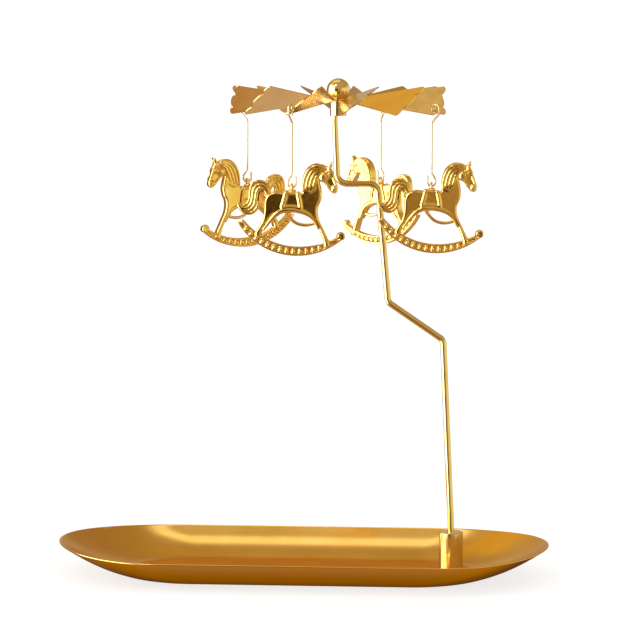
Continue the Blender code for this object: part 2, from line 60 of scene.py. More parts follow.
# Socket and screw
SOCKET_X = 69.3
SOCKET_RADIUS = 5.65
SOCKET_TOP = 20.8
SOCKET_BORE_RADIUS = 1.8
SOCKET_BORE_FLOOR = 9.5
SEAT_TOP = 2.0
SEAT_RADIUS, SEAT_TOP_RADIUS = 6.5, 6.1
SCREW_HEAD_RADIUS, SCREW_SHANK_RADIUS = 2.6, 1.25
SCREW_HEAD_FACE, SCREW_HEAD_TOP, SCREW_TIP = 0.25, 1.6, 8.0
SCREW_CROSS = (1.3, 0.28, 0.8, 0.6)    # arm, half width, depth, taper

# Rod: each corner is an X, a height and a bend radius
ROD_RADIUS = 1.5
ROD_FOOT = SOCKET_BORE_FLOOR + GAP
ROD_CORNERS = (
    (SOCKET_X, ROD_FOOT, 0.0),
    (SOCKET_X, SOCKET_TOP + 1.0, 12.0),
    (64.9, 110.9, 3.6),
    (39.1, 128.4, 3.6),
    (34.0, 183.4, 4.8),
    (15.2, 183.4, 4.8),
    (13.9, 212.5, 6.0),
)
NEEDLE_TIP = 226.5
NEEDLE_TIP_RADIUS = 0.3
NEEDLE_SHOULDER = 208.5

# Pivot cap
AXIS_X = 15.4
BALL_RADIUS, BALL_CENTRE = 5.4, 226.7
SLEEVE_RADIUS, SLEEVE_BOTTOM = 3.8, 214.7
SKIRT_BORE_RADIUS, SKIRT_BORE_TOP = 3.0, 220.4
NECK_RADIUS, NECK_BORE_RADIUS, NECK_TOP = 2.5, 1.8, 225.1
CUP_MOUTH_RADIUS, CUP_APEX_RADIUS = 1.2, 0.5

# Fan: a blade's lobes are shares of its tip's width, and heights
BLADES = 12
BLADE_THICKNESS = 0.45
BLADE_PHASE = 14.4
BLADE_TILT = 36.4
HUB_RADIUS, HUB_THICKNESS = 8.0, 0.6
FAN_LEVEL = 222.0
NECK_START, NECK_END = 6.6, 11.0
NECK_WIDTH = 3.0
BLADE_CORNER_REACH, BLADE_TIP_WIDTH = 48.1, 21.5
LOBES = ((0.25, 1.5), (0.47, 2.1), (0.28, 1.6))
FAN_EDGE = 0.1

# Hooks
HOOK_BEARINGS = (-22.8, 67.2, 157.2, 247.2)
HOOK_REACH = 47.4
HOLE_RADIUS = 1.0
WIRE_RADIUS = 0.45
EYE_WIDTH = 3.55
EYE_TOP, EYE_SHORT_END = 2.7, -2.2
EYE_RETURN, EYE_BOTTOM = -1.6, -5.4
HOOK_KINK, HOOK_SHOULDER, HOOK_OPEN_END = 5.8, 3.0, 4.8
NEARLY_ROUND = 0.98
HANG_LEVEL = 183.3
HOOK_BEND_RADIUS = 1.8
EYE_CORNER_BEND, KINK_BEND, SHOULDER_BEND = 1.6, 1.4, 1.0
HOOK_TURNS = (180.0, 140.0, 8.0, 20.0)
HORSE_TURNS = (0.0, 140.0, 211.0, 0.0)

# Horse casting, in its own X-Z plane with the hook's wire at the origin
RING_RADIUS, RING_TUBE = 1.65, 0.55
FOOT_REST_RADIUS = 0.75
ROCKER_CENTRE = (2.3, 1.1)
ROCKER_RADIUS = 31.8
ROCKER_START, ROCKER_END = 213.0, 311.5
ROCKER_REAR_WIDTH, ROCKER_MID_WIDTH, ROCKER_FRONT_WIDTH = 3.0, 4.2, 1.8
CURL_CENTRE = (22.0, -21.7)
BODY_OUTLINE = ((18.0, 11.6), (15.8, 9.2), (13.4, 10.2), (10.8, 10.3), (7.6, 8.4), (5.5, 4.6),
    (4.8, 0.8), (4.6, -2.2), (2.0, -2.5), (-3.0, -2.2), (-7.0, -1.8), (-10.4, -3.1),
    (-12.2, -6.0), (-12.4, -10.4), (-13.4, -15.2), (-16.4, -20.4), (-15.4, -22.4), (-13.9, -21.6),
    (-12.6, -17.6), (-9.2, -13.2), (-6.6, -11.3), (-3.4, -10.4), (2.0, -10.8), (6.8, -12.2),
    (10.0, -14.6), (13.0, -20.2), (15.2, -26.2), (17.4, -25.9), (14.3, -18.9), (12.0, -13.6),
    (11.7, -9.2), (12.9, -6.2), (13.5, -3.2), (13.1, 0.2), (12.6, 2.7), (14.3, 2.6), (16.4, -0.6),
    (18.6, -2.6), (20.3, -1.9), (20.6, 0.4), (19.4, 3.8), (18.6, 6.9), (17.7, 8.8))
TAIL_OUTLINE = ((-10.2, -4.4), (-10.9, -0.6), (-12.4, 2.0), (-15.0, 2.9), (-17.8, 1.6),
    (-19.0, -1.6), (-19.2, -5.0), (-20.4, -8.2), (-22.4, -8.9), (-24.5, -6.8), (-23.9, -9.8),
    (-21.8, -11.7), (-18.4, -12.3), (-15.8, -10.6), (-14.6, -7.2), (-14.1, -3.6), (-13.2, -2.0),
    (-12.2, -5.0))
FOOT_REST = ((-2.4, -10.2), (-1.0, -13.4), (2.0, -16.0), (5.8, -16.9), (9.6, -16.2),
    (11.6, -15.0))
BELLY = ((-12.9, -19.2), (-10.2, -15.6), (-7.6, -12.7), (-4.6, -10.6), (-1.0, -10.0),
    (2.6, -10.3), (6.6, -11.6), (9.6, -14.0), (12.0, -18.4))
SADDLE_BARS = (((-2.5, -2.3), (-3.2, -5.2), (-4.2, -8.6)),
    ((2.8, -2.8), (3.5, -5.6), (4.0, -9.0)))
MANE_OUTER = ((14.6, 9.2), (12.6, 9.9), (10.0, 9.5), (7.5, 7.6), (6.0, 4.6), (5.3, 1.2),
    (5.2, -1.4))
MANE_INNER = ((14.4, 8.1), (13.2, 7.6), (12.0, 6.2), (10.9, 4.2), (10.2, 2.0), (9.6, 0.2),
    (8.2, -0.9))
MANE_CREST = ((13.9, 9.4), (11.6, 10.2), (9.2, 9.6), (7.0, 7.7), (5.6, 4.6), (4.9, 1.0))
TAIL_OUTER = ((-9.9, -1.2), (-11.4, 1.2), (-13.4, 2.4), (-15.7, 2.5), (-17.8, 1.0), (-18.6, -1.9),
    (-18.8, -5.0), (-20.1, -7.6), (-22.4, -8.4), (-24.1, -7.4))
TAIL_INNER = ((-11.3, -4.3), (-12.2, -2.6), (-13.2, -1.6), (-14.1, -2.0), (-14.7, -4.0),
    (-14.9, -6.6), (-16.0, -9.8), (-18.5, -11.7), (-21.6, -11.2), (-23.9, -8.8))
LOCKS, LOCK_RADIUS = 4, 0.8
BEADS = 14
GRID_LOW, GRID_HIGH, GRID_PITCH = (-26.6, 0.0, -32.2), (26.4, 3.3, 13.2), 0.2
FAR_OUTSIDE, MARGIN = 3.0, 0.9       # the empty grid's distance, and a shape's grid margin
KEPT_FACES = 0.3                     # share of the sculpt's faces left after thinning
FLANK_NORMAL = 0.9995                # a face this square to Y is part of a flat flank

# Camera, at the photograph's angle
CAMERA_PLACE = (76.5, -1210.0, 231.7)
CAMERA_YAW, CAMERA_PITCH, CAMERA_ROLL = 3.269, 5.278, 0.246
CAMERA_FOCAL = 2609.0 / 640.0        # focal length over the frame's width
SENSOR_WIDTH = 36.0

# The tent that metal mirrors. Each stop is a place from -1 to 1 along the direction's X in
# OPENING, its Y in CEILING or its Z in the others, and the red, green and blue there.
OPENING = ((-0.12, 0.05, 0.03, 0.012), (-0.054, 0.05, 0.03, 0.012), (-0.04, 0.24, 0.15, 0.05),
    (-0.01, 0.48, 0.33, 0.14), (0.1, 0.48, 0.33, 0.14))
FRONT = ((-1.0, 0.52, 0.42, 0.32), (-0.8, 0.5, 0.36, 0.16), (-0.5, 0.3, 0.18, 0.08),
    (0.0, 0.45, 0.33, 0.18), (0.5, 0.52, 0.42, 0.24), (1.0, 0.55, 0.45, 0.28))
BACK = ((-1.0, 0.52, 0.42, 0.32), (-0.92, 0.58, 0.46, 0.38), (-0.7, 0.66, 0.57, 0.6),
    (-0.5, 0.3, 0.2, 0.1), (-0.35, 0.12, 0.07, 0.03), (-0.12, 0.4, 0.27, 0.13),
    (0.1, 0.5, 0.38, 0.22), (0.3, 0.62, 0.54, 0.4), (0.5, 0.44, 0.33, 0.18),
    (0.7, 0.6, 0.44, 0.16), (1.0, 0.6, 0.46, 0.2))
BACK_RIGHT = (*BACK[:5], (-0.12, 0.3, 0.19, 0.09), (0.1, 0.42, 0.3, 0.17),
    (0.6, 0.42, 0.29, 0.15), (0.93, 0.5, 0.38, 0.17), (1.0, 0.5, 0.4, 0.24))
BACK_LEFT = ((-1.0, 0.52, 0.42, 0.32), (-0.7, 0.6, 0.5, 0.4), (-0.12, 0.4, 0.27, 0.13),
    (0.1, 0.5, 0.38, 0.22), (0.45, 0.6, 0.46, 0.22), (0.6, 0.77, 0.54, 0.14),
    (0.75, 0.77, 0.54, 0.14), (1.0, 0.77, 0.6, 0.24))
CEILING = ((-0.3, 0.55, 0.45, 0.28), (-0.06, 0.6, 0.5, 0.32), (0.0, 0.85, 0.8, 0.66),
    (0.05, 0.62, 0.56, 0.38), (0.11, 0.66, 0.6, 0.42), (0.15, 1.7, 1.7, 1.7),
    (0.24, 1.7, 1.7, 1.7), (0.29, 0.64, 0.54, 0.38), (0.4, 0.54, 0.45, 0.32),
    (0.6, 0.48, 0.37, 0.19))
RIGHT_SIDE = ((-0.9, 0.6, 0.5, 0.4), (-0.35, 0.5, 0.4, 0.25), (-0.12, 0.95, 0.88, 0.48),
    (0.2, 0.95, 0.88, 0.48), (0.45, 0.45, 0.33, 0.16), (1.0, 0.6, 0.46, 0.22))
LEFT_SIDE = ((-0.9, 0.6, 0.5, 0.4), (-0.6, 1.2, 1.1, 0.9), (-0.45, 4.0, 4.0, 4.0),
    (0.45, 4.0, 4.0, 4.0), (0.65, 0.9, 0.8, 0.6), (1.0, 0.6, 0.46, 0.22))
LEFT_BACK = ((-0.9, 0.6, 0.5, 0.4), (-0.3, 0.25, 0.16, 0.08), (0.2, 0.3, 0.2, 0.1),
    (0.6, 0.45, 0.33, 0.16), (1.0, 0.6, 0.46, 0.22))
OPENING_LOW = (0.55, 0.35, 0.13)
OPENING_HIGH = (0.62, 0.48, 0.24)
EVEN_LIGHT = (1.0, 1.0, 1.0)         # what plain surfaces are lit by instead

# Floor and bowl: they glow a little, and their albedo is painted a shade darker near the object
# than far from it, a faint painted shade
FLOOR_GLOW, FLOOR_GLOW_COLOUR = 0.79, (1.0, 0.99, 0.98)
FLOOR_NEAR_PAINTED_SHADE, FLOOR_FAR, FLOOR_GRAIN = (0.25, 0.25, 0.245), (0.27, 0.27, 0.27), 0.012
FLOOR_REACH = 750.0
BOWL_PROFILE = ((0.75, -0.00005), (2.4, -0.00005), (2.9, 0.05), (3.4, 0.25), (3.8, 0.6),
                (4.1, 1.1), (4.3, 1.8), (4.4, 2.8), (4.4, 4.0))     # metres
BOWL_SIDES = 64

# Softboxes: azimuth (0 is in front, 90 on the right), elevation, distance, width, height,
# colour and strength
SOFTBOXES = {
    "softbox_left": (-78.0, 12.0, 1.8, 0.9, 1.5, (1.0, 1.0, 1.0), 4.0),
    "softbox_front": (-32.0, 47.0, 1.6, 0.35, 0.35, (1.0, 0.97, 0.88), 6.0),
}
SOFTBOX_TARGET = (0.0, 0.0, 0.12)

# Plating: its orange peel, its streaks, and the painted shade on the tray's underside: where it
# begins by height (metres) and by how far down a face looks, and the reflection tints outside and
# inside that painted shade
PEEL_SCALE, PEEL_DEPTH = 900.0, 0.004
STREAK_SCALE = 2600.0
PAINTED_SHADE_HEIGHTS = (0.001, 0.0125, 1.0, 0.0)
PAINTED_SHADE_FACING = (-0.12, -0.32)
TINT_ABOVE, PAINTED_SHADE_TINT = (1.0, 0.93, 0.82), (0.72, 0.50, 0.26)

# How finely curves are drawn
EDGE_STEPS, END_STEPS, DOME_STEPS, LOBE_STEPS = 5, 72, 40, 9
NECK_ROWS, PANEL_ROWS = 10, 4


# ---- mesh helpers

def linked(name, data):
    obj = bpy.data.objects.new(name, data)
    bpy.context.scene.collection.objects.link(obj)
    return obj


def finished(name, mesh, material, sharp_angle=35.0):
    """A visible piece: smooth, with edges above an angle kept sharp."""
    mesh.name = name
    mesh.materials.clear()
    mesh.materials.append(material)
    mesh.shade_smooth()
    mesh.set_sharp_from_angle(angle=radians(sharp_angle))
    return linked(name, mesh)


def mesh_of(bm):
    bmesh.ops.recalc_face_normals(bm, faces=bm.faces)
    mesh = bpy.data.meshes.new("mesh")
    bm.to_mesh(mesh)
    bm.free()
    return mesh


def applied(mesh, set_up):
    """The mesh after the modifiers that set_up puts on a temporary object."""
    obj = linked("modified", mesh)
    helpers = set_up(obj) or []
    bpy.context.view_layer.update()
    evaluated = obj.evaluated_get(bpy.context.evaluated_depsgraph_get())
    result = bpy.data.meshes.new_from_object(evaluated)
    for item in (obj, *helpers):
        bpy.data.objects.remove(item)
    return result


def combine(base, tools, operation):
    """The base mesh after each tool mesh is joined to it or cut from it in turn."""
    def set_up(obj):
        helpers = [linked("tool", tool) for tool in tools]
        for helper in helpers:
            modifier = obj.modifiers.new(helper.name, "BOOLEAN")
            modifier.operation = operation
            modifier.solver = "EXACT"
            modifier.object = helper
        return helpers
    return applied(base, set_up)


def loft(rings):
    """A skin over a row of equal rings of points, with capped ends."""
    bm = bmesh.new()
    rows = [[bm.verts.new(Vector(point) * MM) for point in ring] for ring in rings]
    skin(bm, rows)
    bm.faces.new(rows[0])
    bm.faces.new(rows[-1])
    return mesh_of(bm)


def skin(bm, rows):
    for lower, upper in zip(rows, rows[1:]):
        for i in range(len(lower)):
            j = (i + 1) % len(lower)
            bm.faces.new((lower[i], lower[j], upper[j], upper[i]))


def circle(radius, sides):
    return [(radius * cos(tau * step / sides), radius * sin(tau * step / sides))
            for step in range(sides)]


def turned(profile, centre=(0.0, 0.0), sides=96):
    """A solid turned about a vertical axis. The profile is a row of (radius, height);
    points on the axis close the solid, and a profile clear of it closes on itself."""
    bm = bmesh.new()
    rows = [[bm.verts.new(Vector((centre[0] + x, centre[1] + y, height)) * MM)
             for x, y in (circle(radius, sides) if radius else [(0.0, 0.0)])]
            for radius, height in profile]
    pairs = list(zip(rows, rows[1:]))
    if len(rows[0]) > 1:
        pairs.append((rows[-1], rows[0]))
    for first, second in pairs:
        for i in range(sides):
            j = (i + 1) % sides
            corners = [first[i % len(first)], first[j % len(first)],
                       second[j % len(second)], second[i % len(second)]]
            bm.faces.new(list(dict.fromkeys(corners)))
    return mesh_of(bm)


def rounded_path(corners, steps):
    """A polyline through corners, each with a bend radius, bends drawn as arcs."""
    points = [Vector(corners[0][0])]
    for (before, _), (corner, radius), (after, _) in zip(corners, corners[1:], corners[2:]):
        corner = Vector(corner)
        back = (Vector(before) - corner).normalized()
        ahead = (Vector(after) - corner).normalized()
        half_turn = (pi - back.angle(ahead)) / 2
        if radius == 0.0 or half_turn < 1e-4:
            points.append(corner)
            continue
        start = corner + back * radius * tan(half_turn)
        centre = corner + (back + ahead).normalized() * radius / cos(half_turn)
        axis = back.cross(ahead).normalized()
        for step in range(steps + 1):
            turn = Matrix.Rotation(-2 * half_turn * step / steps, 3, axis)
            points.append(centre + turn @ (start - centre))
    points.append(Vector(corners[-1][0]))
    return points


def rounded_profile(*corners):
    """A turned profile through (radius, height, and an edge radius where it is rounded)."""
    path = rounded_path([((r, 0.0, z), sum(edge)) for r, z, *edge in corners], EDGE_STEPS)
    return [(point.x, point.z) for point in path]


def smooth_curve(points, steps, closed=False):
    """Catmull-Rom points through a row of given points."""
    points = [Vector(p) for p in points]
    before, after = (points[-1:], points[:2]) if closed else (points[:1], points[-1:])
    points = before + points + after
    result = []
    for a, b, c, d in zip(points, points[1:], points[2:], points[3:]):
        for step in range(steps):
            t = step / steps
            result.append(0.5 * (2 * b + (c - a) * t + (2 * a - 5 * b + 4 * c - d) * t ** 2
                                 + (3 * b - a - 3 * c + d) * t ** 3))
    if not closed:
        result.append(points[-1])
    return result


def directions(path):
    """The unit vector along a path at each of its points."""
    return [(after - before).normalized()
            for before, after in zip(path[:1] + path[:-1], path[1:] + path[-1:])]


def swept(path, radii, sides):
    """A round bar along a 3-D path, its section carried without twist."""
    tangents = directions(path)
    side = tangents[0].orthogonal().normalized()
    rings = []
    for i, (point, tangent, radius) in enumerate(zip(path, tangents, radii)):
        if i:
            turn = tangents[i - 1].rotation_difference(tangent)
            side = (turn @ side).normalized()
        across = tangent.cross(side)
        rings.append([point + (side * u + across * v) * radius for u, v in circle(1.0, sides)])
    return loft(rings)


def round_ended(path, radius):
    """The path and its radii with both ends drawn in to a dome."""
    domes = []
    for tip, inner in ((path[0], path[1]), (path[-1], path[-2])):
        inward = (inner - tip).normalized()
        angles = [pi / 2 * step / EDGE_STEPS for step in range(EDGE_STEPS + 1)]
        domes.append([(tip + inward * radius * (1 - sin(angle)),
                       max(radius * cos(angle), radius * 0.12)) for angle in angles])
    rows = domes[0][::-1] + [(point, radius) for point in path[1:-1]] + domes[1]
    return [point for point, _ in rows], [size for _, size in rows]


# ---- node trees

class Tree:
    """Short hand for a node tree. A socket is given either a number or colour to hold, or
    another node's output to link to."""

    def __init__(self, owner):
        owner.use_nodes = True
        self.tree = owner.node_tree

    def give(self, target, value):
        if isinstance(value, bpy.types.NodeSocket):
            self.tree.links.new(value, target)
        elif target.type == "RGBA":
            target.default_value = (*value, 1.0)
        else:
            target.default_value = value

    def node(self, kind, output, inputs, **settings):
        """An output of a new node, after its settings are made and its inputs given."""
        node = self.tree.nodes.new("ShaderNode" + kind)
        for key, value in settings.items():
            setattr(node, key, value)
        for key, value in inputs.items():
            self.give(node.inputs[key], value)
        return node.outputs[output]

    def mapped(self, value, low, high, to_low=0.0, to_high=1.0, kind="LINEAR"):
        return self.node("MapRange", "Result", {
            "Value": value, "From Min": low, "From Max": high, "To Min": to_low,
            "To Max": to_high}, interpolation_type=kind)

    def mixed(self, factor, first, second):
        """A mix of two colours. They are the Mix node's seventh and eighth inputs."""
        return self.node("Mix", 2, {"Factor": factor, 6: first, 7: second}, data_type="RGBA")

    def part(self, vector, axis):
        return self.node("SeparateXYZ", axis, {"Vector": vector})


class Finish(Tree):
    """A material's node tree round its Principled BSDF."""

    def __init__(self, name, colour, roughness, metallic=1.0):
        self.material = bpy.data.materials.new(name)
        super().__init__(self.material)
        self.coords = self.node("TexCoord", "Object", {})
        self.shade({"Base Color": colour, "Roughness": roughness, "Metallic": metallic})

    def shade(self, inputs):
        for key, value in inputs.items():
            self.give(self.tree.nodes["Principled BSDF"].inputs[key], value)

    def stretched(self, scale):
        """Object coordinates scaled by axis, so that a texture draws out into streaks."""
        return self.node("Mapping", "Vector", {"Vector": self.coords, "Scale": scale})

    def noise(self, scale, detail, vector=None):
        return self.node("TexNoise", "Fac", {
            "Vector": vector or self.coords, "Scale": scale, "Detail": detail})

    def bump(self, height, depth, under):
        """A normal that a height in millimetres roughens, over the one under it, if any."""
        inputs = {"Height": height, "Distance": depth * MM}
        return self.node("Bump", "Normal", inputs | under)


def gilt(name, light, deep, roughness, spread, patch_scale, streak=None, streak_depth=0.0,
         wear=None, under=None):
    """Gold plating: patches of two tones, finer and coarser gloss, a faint orange peel, and
    streaks along the axes where streak is small. Edges can be rubbed bright. Given under, faces
    that
    look down get a painted shade: the plating is painted darker from one tone to another towards
    the bottom, with a deeper reflection tint, standing in for the shaded floor close under the
    piece."""
    metal = Finish(name, light, roughness)
    patches = metal.mapped(metal.noise(patch_scale, 3.0), 0.35, 0.68)
    colour = metal.mixed(patches, light, deep)
    if wear:
        edges = metal.node("NewGeometry", "Pointiness", {})
        colour = metal.mixed(metal.mapped(edges, 0.515, 0.56), colour, wear)
    # Painted shade: faces that look down are painted darker, deepest at the foot, and their
    # reflection is tinted deeper.
    if under:
        low = metal.mixed(metal.mapped(metal.part(metal.coords, "Z"), *PAINTED_SHADE_HEIGHTS), *under)
        facing = metal.part(metal.node("NewGeometry", "Normal", {}), "Z")
        below = metal.mapped(facing, *PAINTED_SHADE_FACING)
        colour = metal.mixed(below, colour, low)
        metal.shade({"Specular Tint": metal.mixed(below, TINT_ABOVE, PAINTED_SHADE_TINT)})
    smears = metal.noise(patch_scale * 2.3, 5.0, metal.stretched(streak or (1.0, 1.0, 1.0)))
    normal = metal.bump(metal.noise(PEEL_SCALE, 2.0), PEEL_DEPTH, {})
    if streak:
        along = metal.stretched(tuple(STREAK_SCALE * share for share in streak))
        normal = metal.bump(metal.noise(1.0, 4.0, along), streak_depth, {"Normal": normal})
    metal.shade({
        "Base Color": colour, "Normal": normal,
        "Roughness": metal.mapped(smears, 0.3, 0.7, roughness - spread, roughness + spread)})
    return metal.material


# ---- tray

def stadium(straight, radius):
    """X-Y points round two half circles, joined by straight sides."""
    ring = []
    for side, first_angle in ((1, -90.0), (-1, 90.0)):
        for step in range(END_STEPS + 1):
            angle = radians(first_angle + 180.0 * step / END_STEPS)
            ring.append((side * straight + radius * cos(angle), radius * sin(angle)))
    return ring


def build_tray(material):
    """A sheet of even thickness: its section's middle line is offset both ways, closed by a
    round edge at the rim, and lifted towards the tray's ends. The socket's seat is raised
    on its floor, over a countersunk hole for the screw."""
    half = SHEET / 2
    out_span = RIM_RADIUS - half - FLOOR_RADIUS
    rise = TRAY_HEIGHT - SHEET
    middle = [Vector((FLOOR_RADIUS + out * out_span, half + up * rise))
              for out, up in smooth_curve(WALL_PROFILE, 8)]
    normals = [Vector((along.y, -along.x)) for along in directions(middle)]
    normals[0] = Vector((0.0, -1.0))
    below = [m + n * half for m, n in zip(middle, normals)]
    above = [m - n * half for m, n in zip(middle, normals)]
    bead = [middle[-1] + Matrix.Rotation(pi * step / 8, 2) @ normals[-1] * half
            for step in range(1, 8)]
    ups = [(m.y - half) / rise for m in middle]
    section = below + bead + above[::-1]
    rings = []
    for (radius, height), up in zip(section, ups + [1.0] * len(bead) + ups[::-1]):
        outward = (radius - FLOOR_RADIUS) / (RIM_RADIUS - FLOOR_RADIUS)
        straight = FLOOR_STRAIGHT + (RIM_STRAIGHT - FLOOR_STRAIGHT) * outward
        rings.append([(x, y, height + END_LIFT * up * (max(abs(x) - straight, 0.0) / radius)
                       ** END_LIFT_POWER) for x, y in stadium(straight, radius)])
    sheet = loft(rings)
    centre = (SOCKET_X, 0.0)
    seat = turned(rounded_profile(
        (0.0, SHEET / 2), (SEAT_RADIUS, SHEET / 2), (SEAT_RADIUS, SHEET),
        (SEAT_TOP_RADIUS, SEAT_TOP, 0.3), (0.0, SEAT_TOP)), centre)
    sheet = combine(sheet, [seat], "UNION")
    sink_radius = SCREW_HEAD_RADIUS + GAP
    hole_radius = SCREW_SHANK_RADIUS + GAP
    sink = turned(((0.0, -1.0), (sink_radius, -1.0), (sink_radius, SCREW_HEAD_FACE),
                   (hole_radius, SCREW_HEAD_TOP), (hole_radius, SEAT_TOP + 1.0),
                   (0.0, SEAT_TOP + 1.0)), centre)
    return finished("tray_sheet", combine(sheet, [sink], "DIFFERENCE"), material)


def build_socket(material):
    thread = SCREW_SHANK_RADIUS + GAP
    foot = SEAT_TOP + GAP
    profile = rounded_profile(
        (0.0, SCREW_TIP + GAP), (thread, SCREW_TIP + GAP), (thread, foot, 0.1),
        (SOCKET_RADIUS, foot, 0.35), (SOCKET_RADIUS, SOCKET_TOP - 0.45, 0.3),
        (SOCKET_RADIUS - 0.45, SOCKET_TOP, 0.3), (SOCKET_BORE_RADIUS + 0.35, SOCKET_TOP, 0.12),
        (SOCKET_BORE_RADIUS, SOCKET_TOP - 0.35, 0.12),
        (SOCKET_BORE_RADIUS, SOCKET_BORE_FLOOR), (0.0, SOCKET_BORE_FLOOR))
    return finished("socket_turned", turned(profile, (SOCKET_X, 0.0), 128), material)


def build_screw(material):
    body = turned(rounded_profile(
        (0.0, SCREW_HEAD_FACE), (SCREW_HEAD_RADIUS, SCREW_HEAD_FACE, 0.12),
        (SCREW_SHANK_RADIUS, SCREW_HEAD_TOP, 0.1), (SCREW_SHANK_RADIUS, SCREW_TIP - 0.5, 0.1),
        (SCREW_SHANK_RADIUS - 0.5, SCREW_TIP), (0.0, SCREW_TIP)),
        (SOCKET_X, 0.0), 64)
    arm, half_width, depth, taper = SCREW_CROSS
    levels = ((SCREW_HEAD_FACE - 1.0, 1.0), (SCREW_HEAD_FACE, 1.0),
              (SCREW_HEAD_FACE + depth, taper))
    slots = []
    for u, v in ((arm, half_width), (half_width, arm)):
        ring = ((u, v), (-u, v), (-u, -v), (u, -v))
        slots.append(loft([[(SOCKET_X + x * scale, y * scale, z) for x, y in ring]
                           for z, scale in levels]))
    return finished("screw_cross_head", combine(body, slots, "DIFFERENCE"), material)


def build_rod(material):
    """The bent bar, drawn down to a needle above its last bend."""
    corners = [((x, 0.0, z), radius) for x, z, radius in ROD_CORNERS]
    path = rounded_path(corners + [((AXIS_X, 0.0, NEEDLE_TIP), 0.0)], 14)
    start, tip = path[-2], path[-1]
    path = path[:-1] + [start.lerp(tip, share) for share in (0.25, 0.5, 0.75, 0.9, 0.97, 1.0)]
    radii = []
    for point in path:
        share = max(0.0, (point.z - NEEDLE_SHOULDER) / (NEEDLE_TIP - NEEDLE_SHOULDER))
        radii.append(ROD_RADIUS + (NEEDLE_TIP_RADIUS - ROD_RADIUS) * share)
    radii[-1] = NEEDLE_TIP_RADIUS * 0.4
    return finished("rod_bent", swept(path, radii, 32), material)


# ---- carousel

def build_pivot(ball_material, sleeve_material):
    """The ball cap with the cup it turns in, and the skirted sleeve pushed into it."""
    base = FAN_LEVEL + HUB_THICKNESS / 2 + GAP
    flat_angle = asin((base - BALL_CENTRE) / BALL_RADIUS)
    dome = []
    for step in range(DOME_STEPS):
        angle = flat_angle + (pi / 2 - flat_angle) * step / DOME_STEPS
        dome.append((BALL_RADIUS * cos(angle), BALL_CENTRE + BALL_RADIUS * sin(angle)))
    dome.append((0.0, BALL_CENTRE + BALL_RADIUS))
    bore = NECK_RADIUS + GAP
    cup_mouth, cup_apex = NECK_TOP + GAP, NEEDLE_TIP + GAP
    inside = [(0.0, cup_apex), (CUP_APEX_RADIUS, cup_apex), (CUP_MOUTH_RADIUS, cup_mouth),
              (bore, cup_mouth), (bore, base)]
    ball = turned(inside + dome, (AXIS_X, 0.0))
    shoulder = FAN_LEVEL - HUB_THICKNESS / 2 - GAP
    profile = rounded_profile(
        (NECK_BORE_RADIUS, NECK_TOP), (NECK_BORE_RADIUS, SKIRT_BORE_TOP),
        (SKIRT_BORE_RADIUS, SKIRT_BORE_TOP), (SKIRT_BORE_RADIUS, SLEEVE_BOTTOM, 0.15),
        (SLEEVE_RADIUS, SLEEVE_BOTTOM, 0.25), (SLEEVE_RADIUS, shoulder, 0.2),
        (NECK_RADIUS, shoulder), (NECK_RADIUS, NECK_TOP))
    sleeve = turned(profile, (AXIS_X, 0.0))
    return (finished("ball_polished", ball, ball_material),
            finished("sleeve_turned", sleeve, sleeve_material))


def lobed_tip():
    """Points across a blade's tip, over its lobes, from its low corner to its high one."""
    points = []
    left = -BLADE_TIP_WIDTH / 2
    for share, height in LOBES:
        width = share * BLADE_TIP_WIDTH
        for step in range(LOBE_STEPS):
            turn = pi * step / LOBE_STEPS
            points.append((left + width * (1 - cos(turn)) / 2,
                           BLADE_CORNER_REACH + height * sin(turn)))
        left += width
    points.append((left, BLADE_CORNER_REACH))
    return points


def blade_mesh(bearing):
    """One blade as a grid: a neck twisted from flat to the blade's tilt, then a panel."""
    tip = lobed_tip()
    bm = bmesh.new()
    spin = Matrix.Rotation(radians(bearing), 3, "Z")
    half = BLADE_THICKNESS / 2
    rows = []
    for step in range(NECK_ROWS + PANEL_ROWS + 1):
        if step <= NECK_ROWS:
            share = step / NECK_ROWS
            ease = share * share * (3 - 2 * share)
            reach = NECK_START + (NECK_END - NECK_START) * share
            line = [(across / BLADE_TIP_WIDTH * NECK_WIDTH, reach) for across, _ in tip]
            tilt = BLADE_TILT * ease
        else:
            share = (step - NECK_ROWS) / PANEL_ROWS
            scale = (NECK_WIDTH + (BLADE_TIP_WIDTH - NECK_WIDTH) * share) / BLADE_TIP_WIDTH
            line = [(across * scale, NECK_END + (reach - NECK_END) * share)
                    for across, reach in tip]
            tilt = BLADE_TILT
        lean = Matrix.Rotation(radians(tilt), 3, "X")
        rows.append([[bm.verts.new((spin @ (Vector((reach, 0.0, 0.0))
                                            + lean @ Vector((0.0, across, level)))) * MM)
                      for across, reach in line] for level in (-half, half)])
    for (under, over), (next_under, next_over) in zip(rows, rows[1:]):
        for i in range(len(under) - 1):
            bm.faces.new((under[i], under[i + 1], next_under[i + 1], next_under[i]))
            bm.faces.new((over[i], over[i + 1], next_over[i + 1], next_over[i]))
        for i in (0, -1):
            bm.faces.new((under[i], over[i], next_over[i], next_under[i]))
    for under, over in (rows[0], rows[-1]):
        for i in range(len(under) - 1):
            bm.faces.new((under[i], under[i + 1], over[i + 1], over[i]))
    return mesh_of(bm)


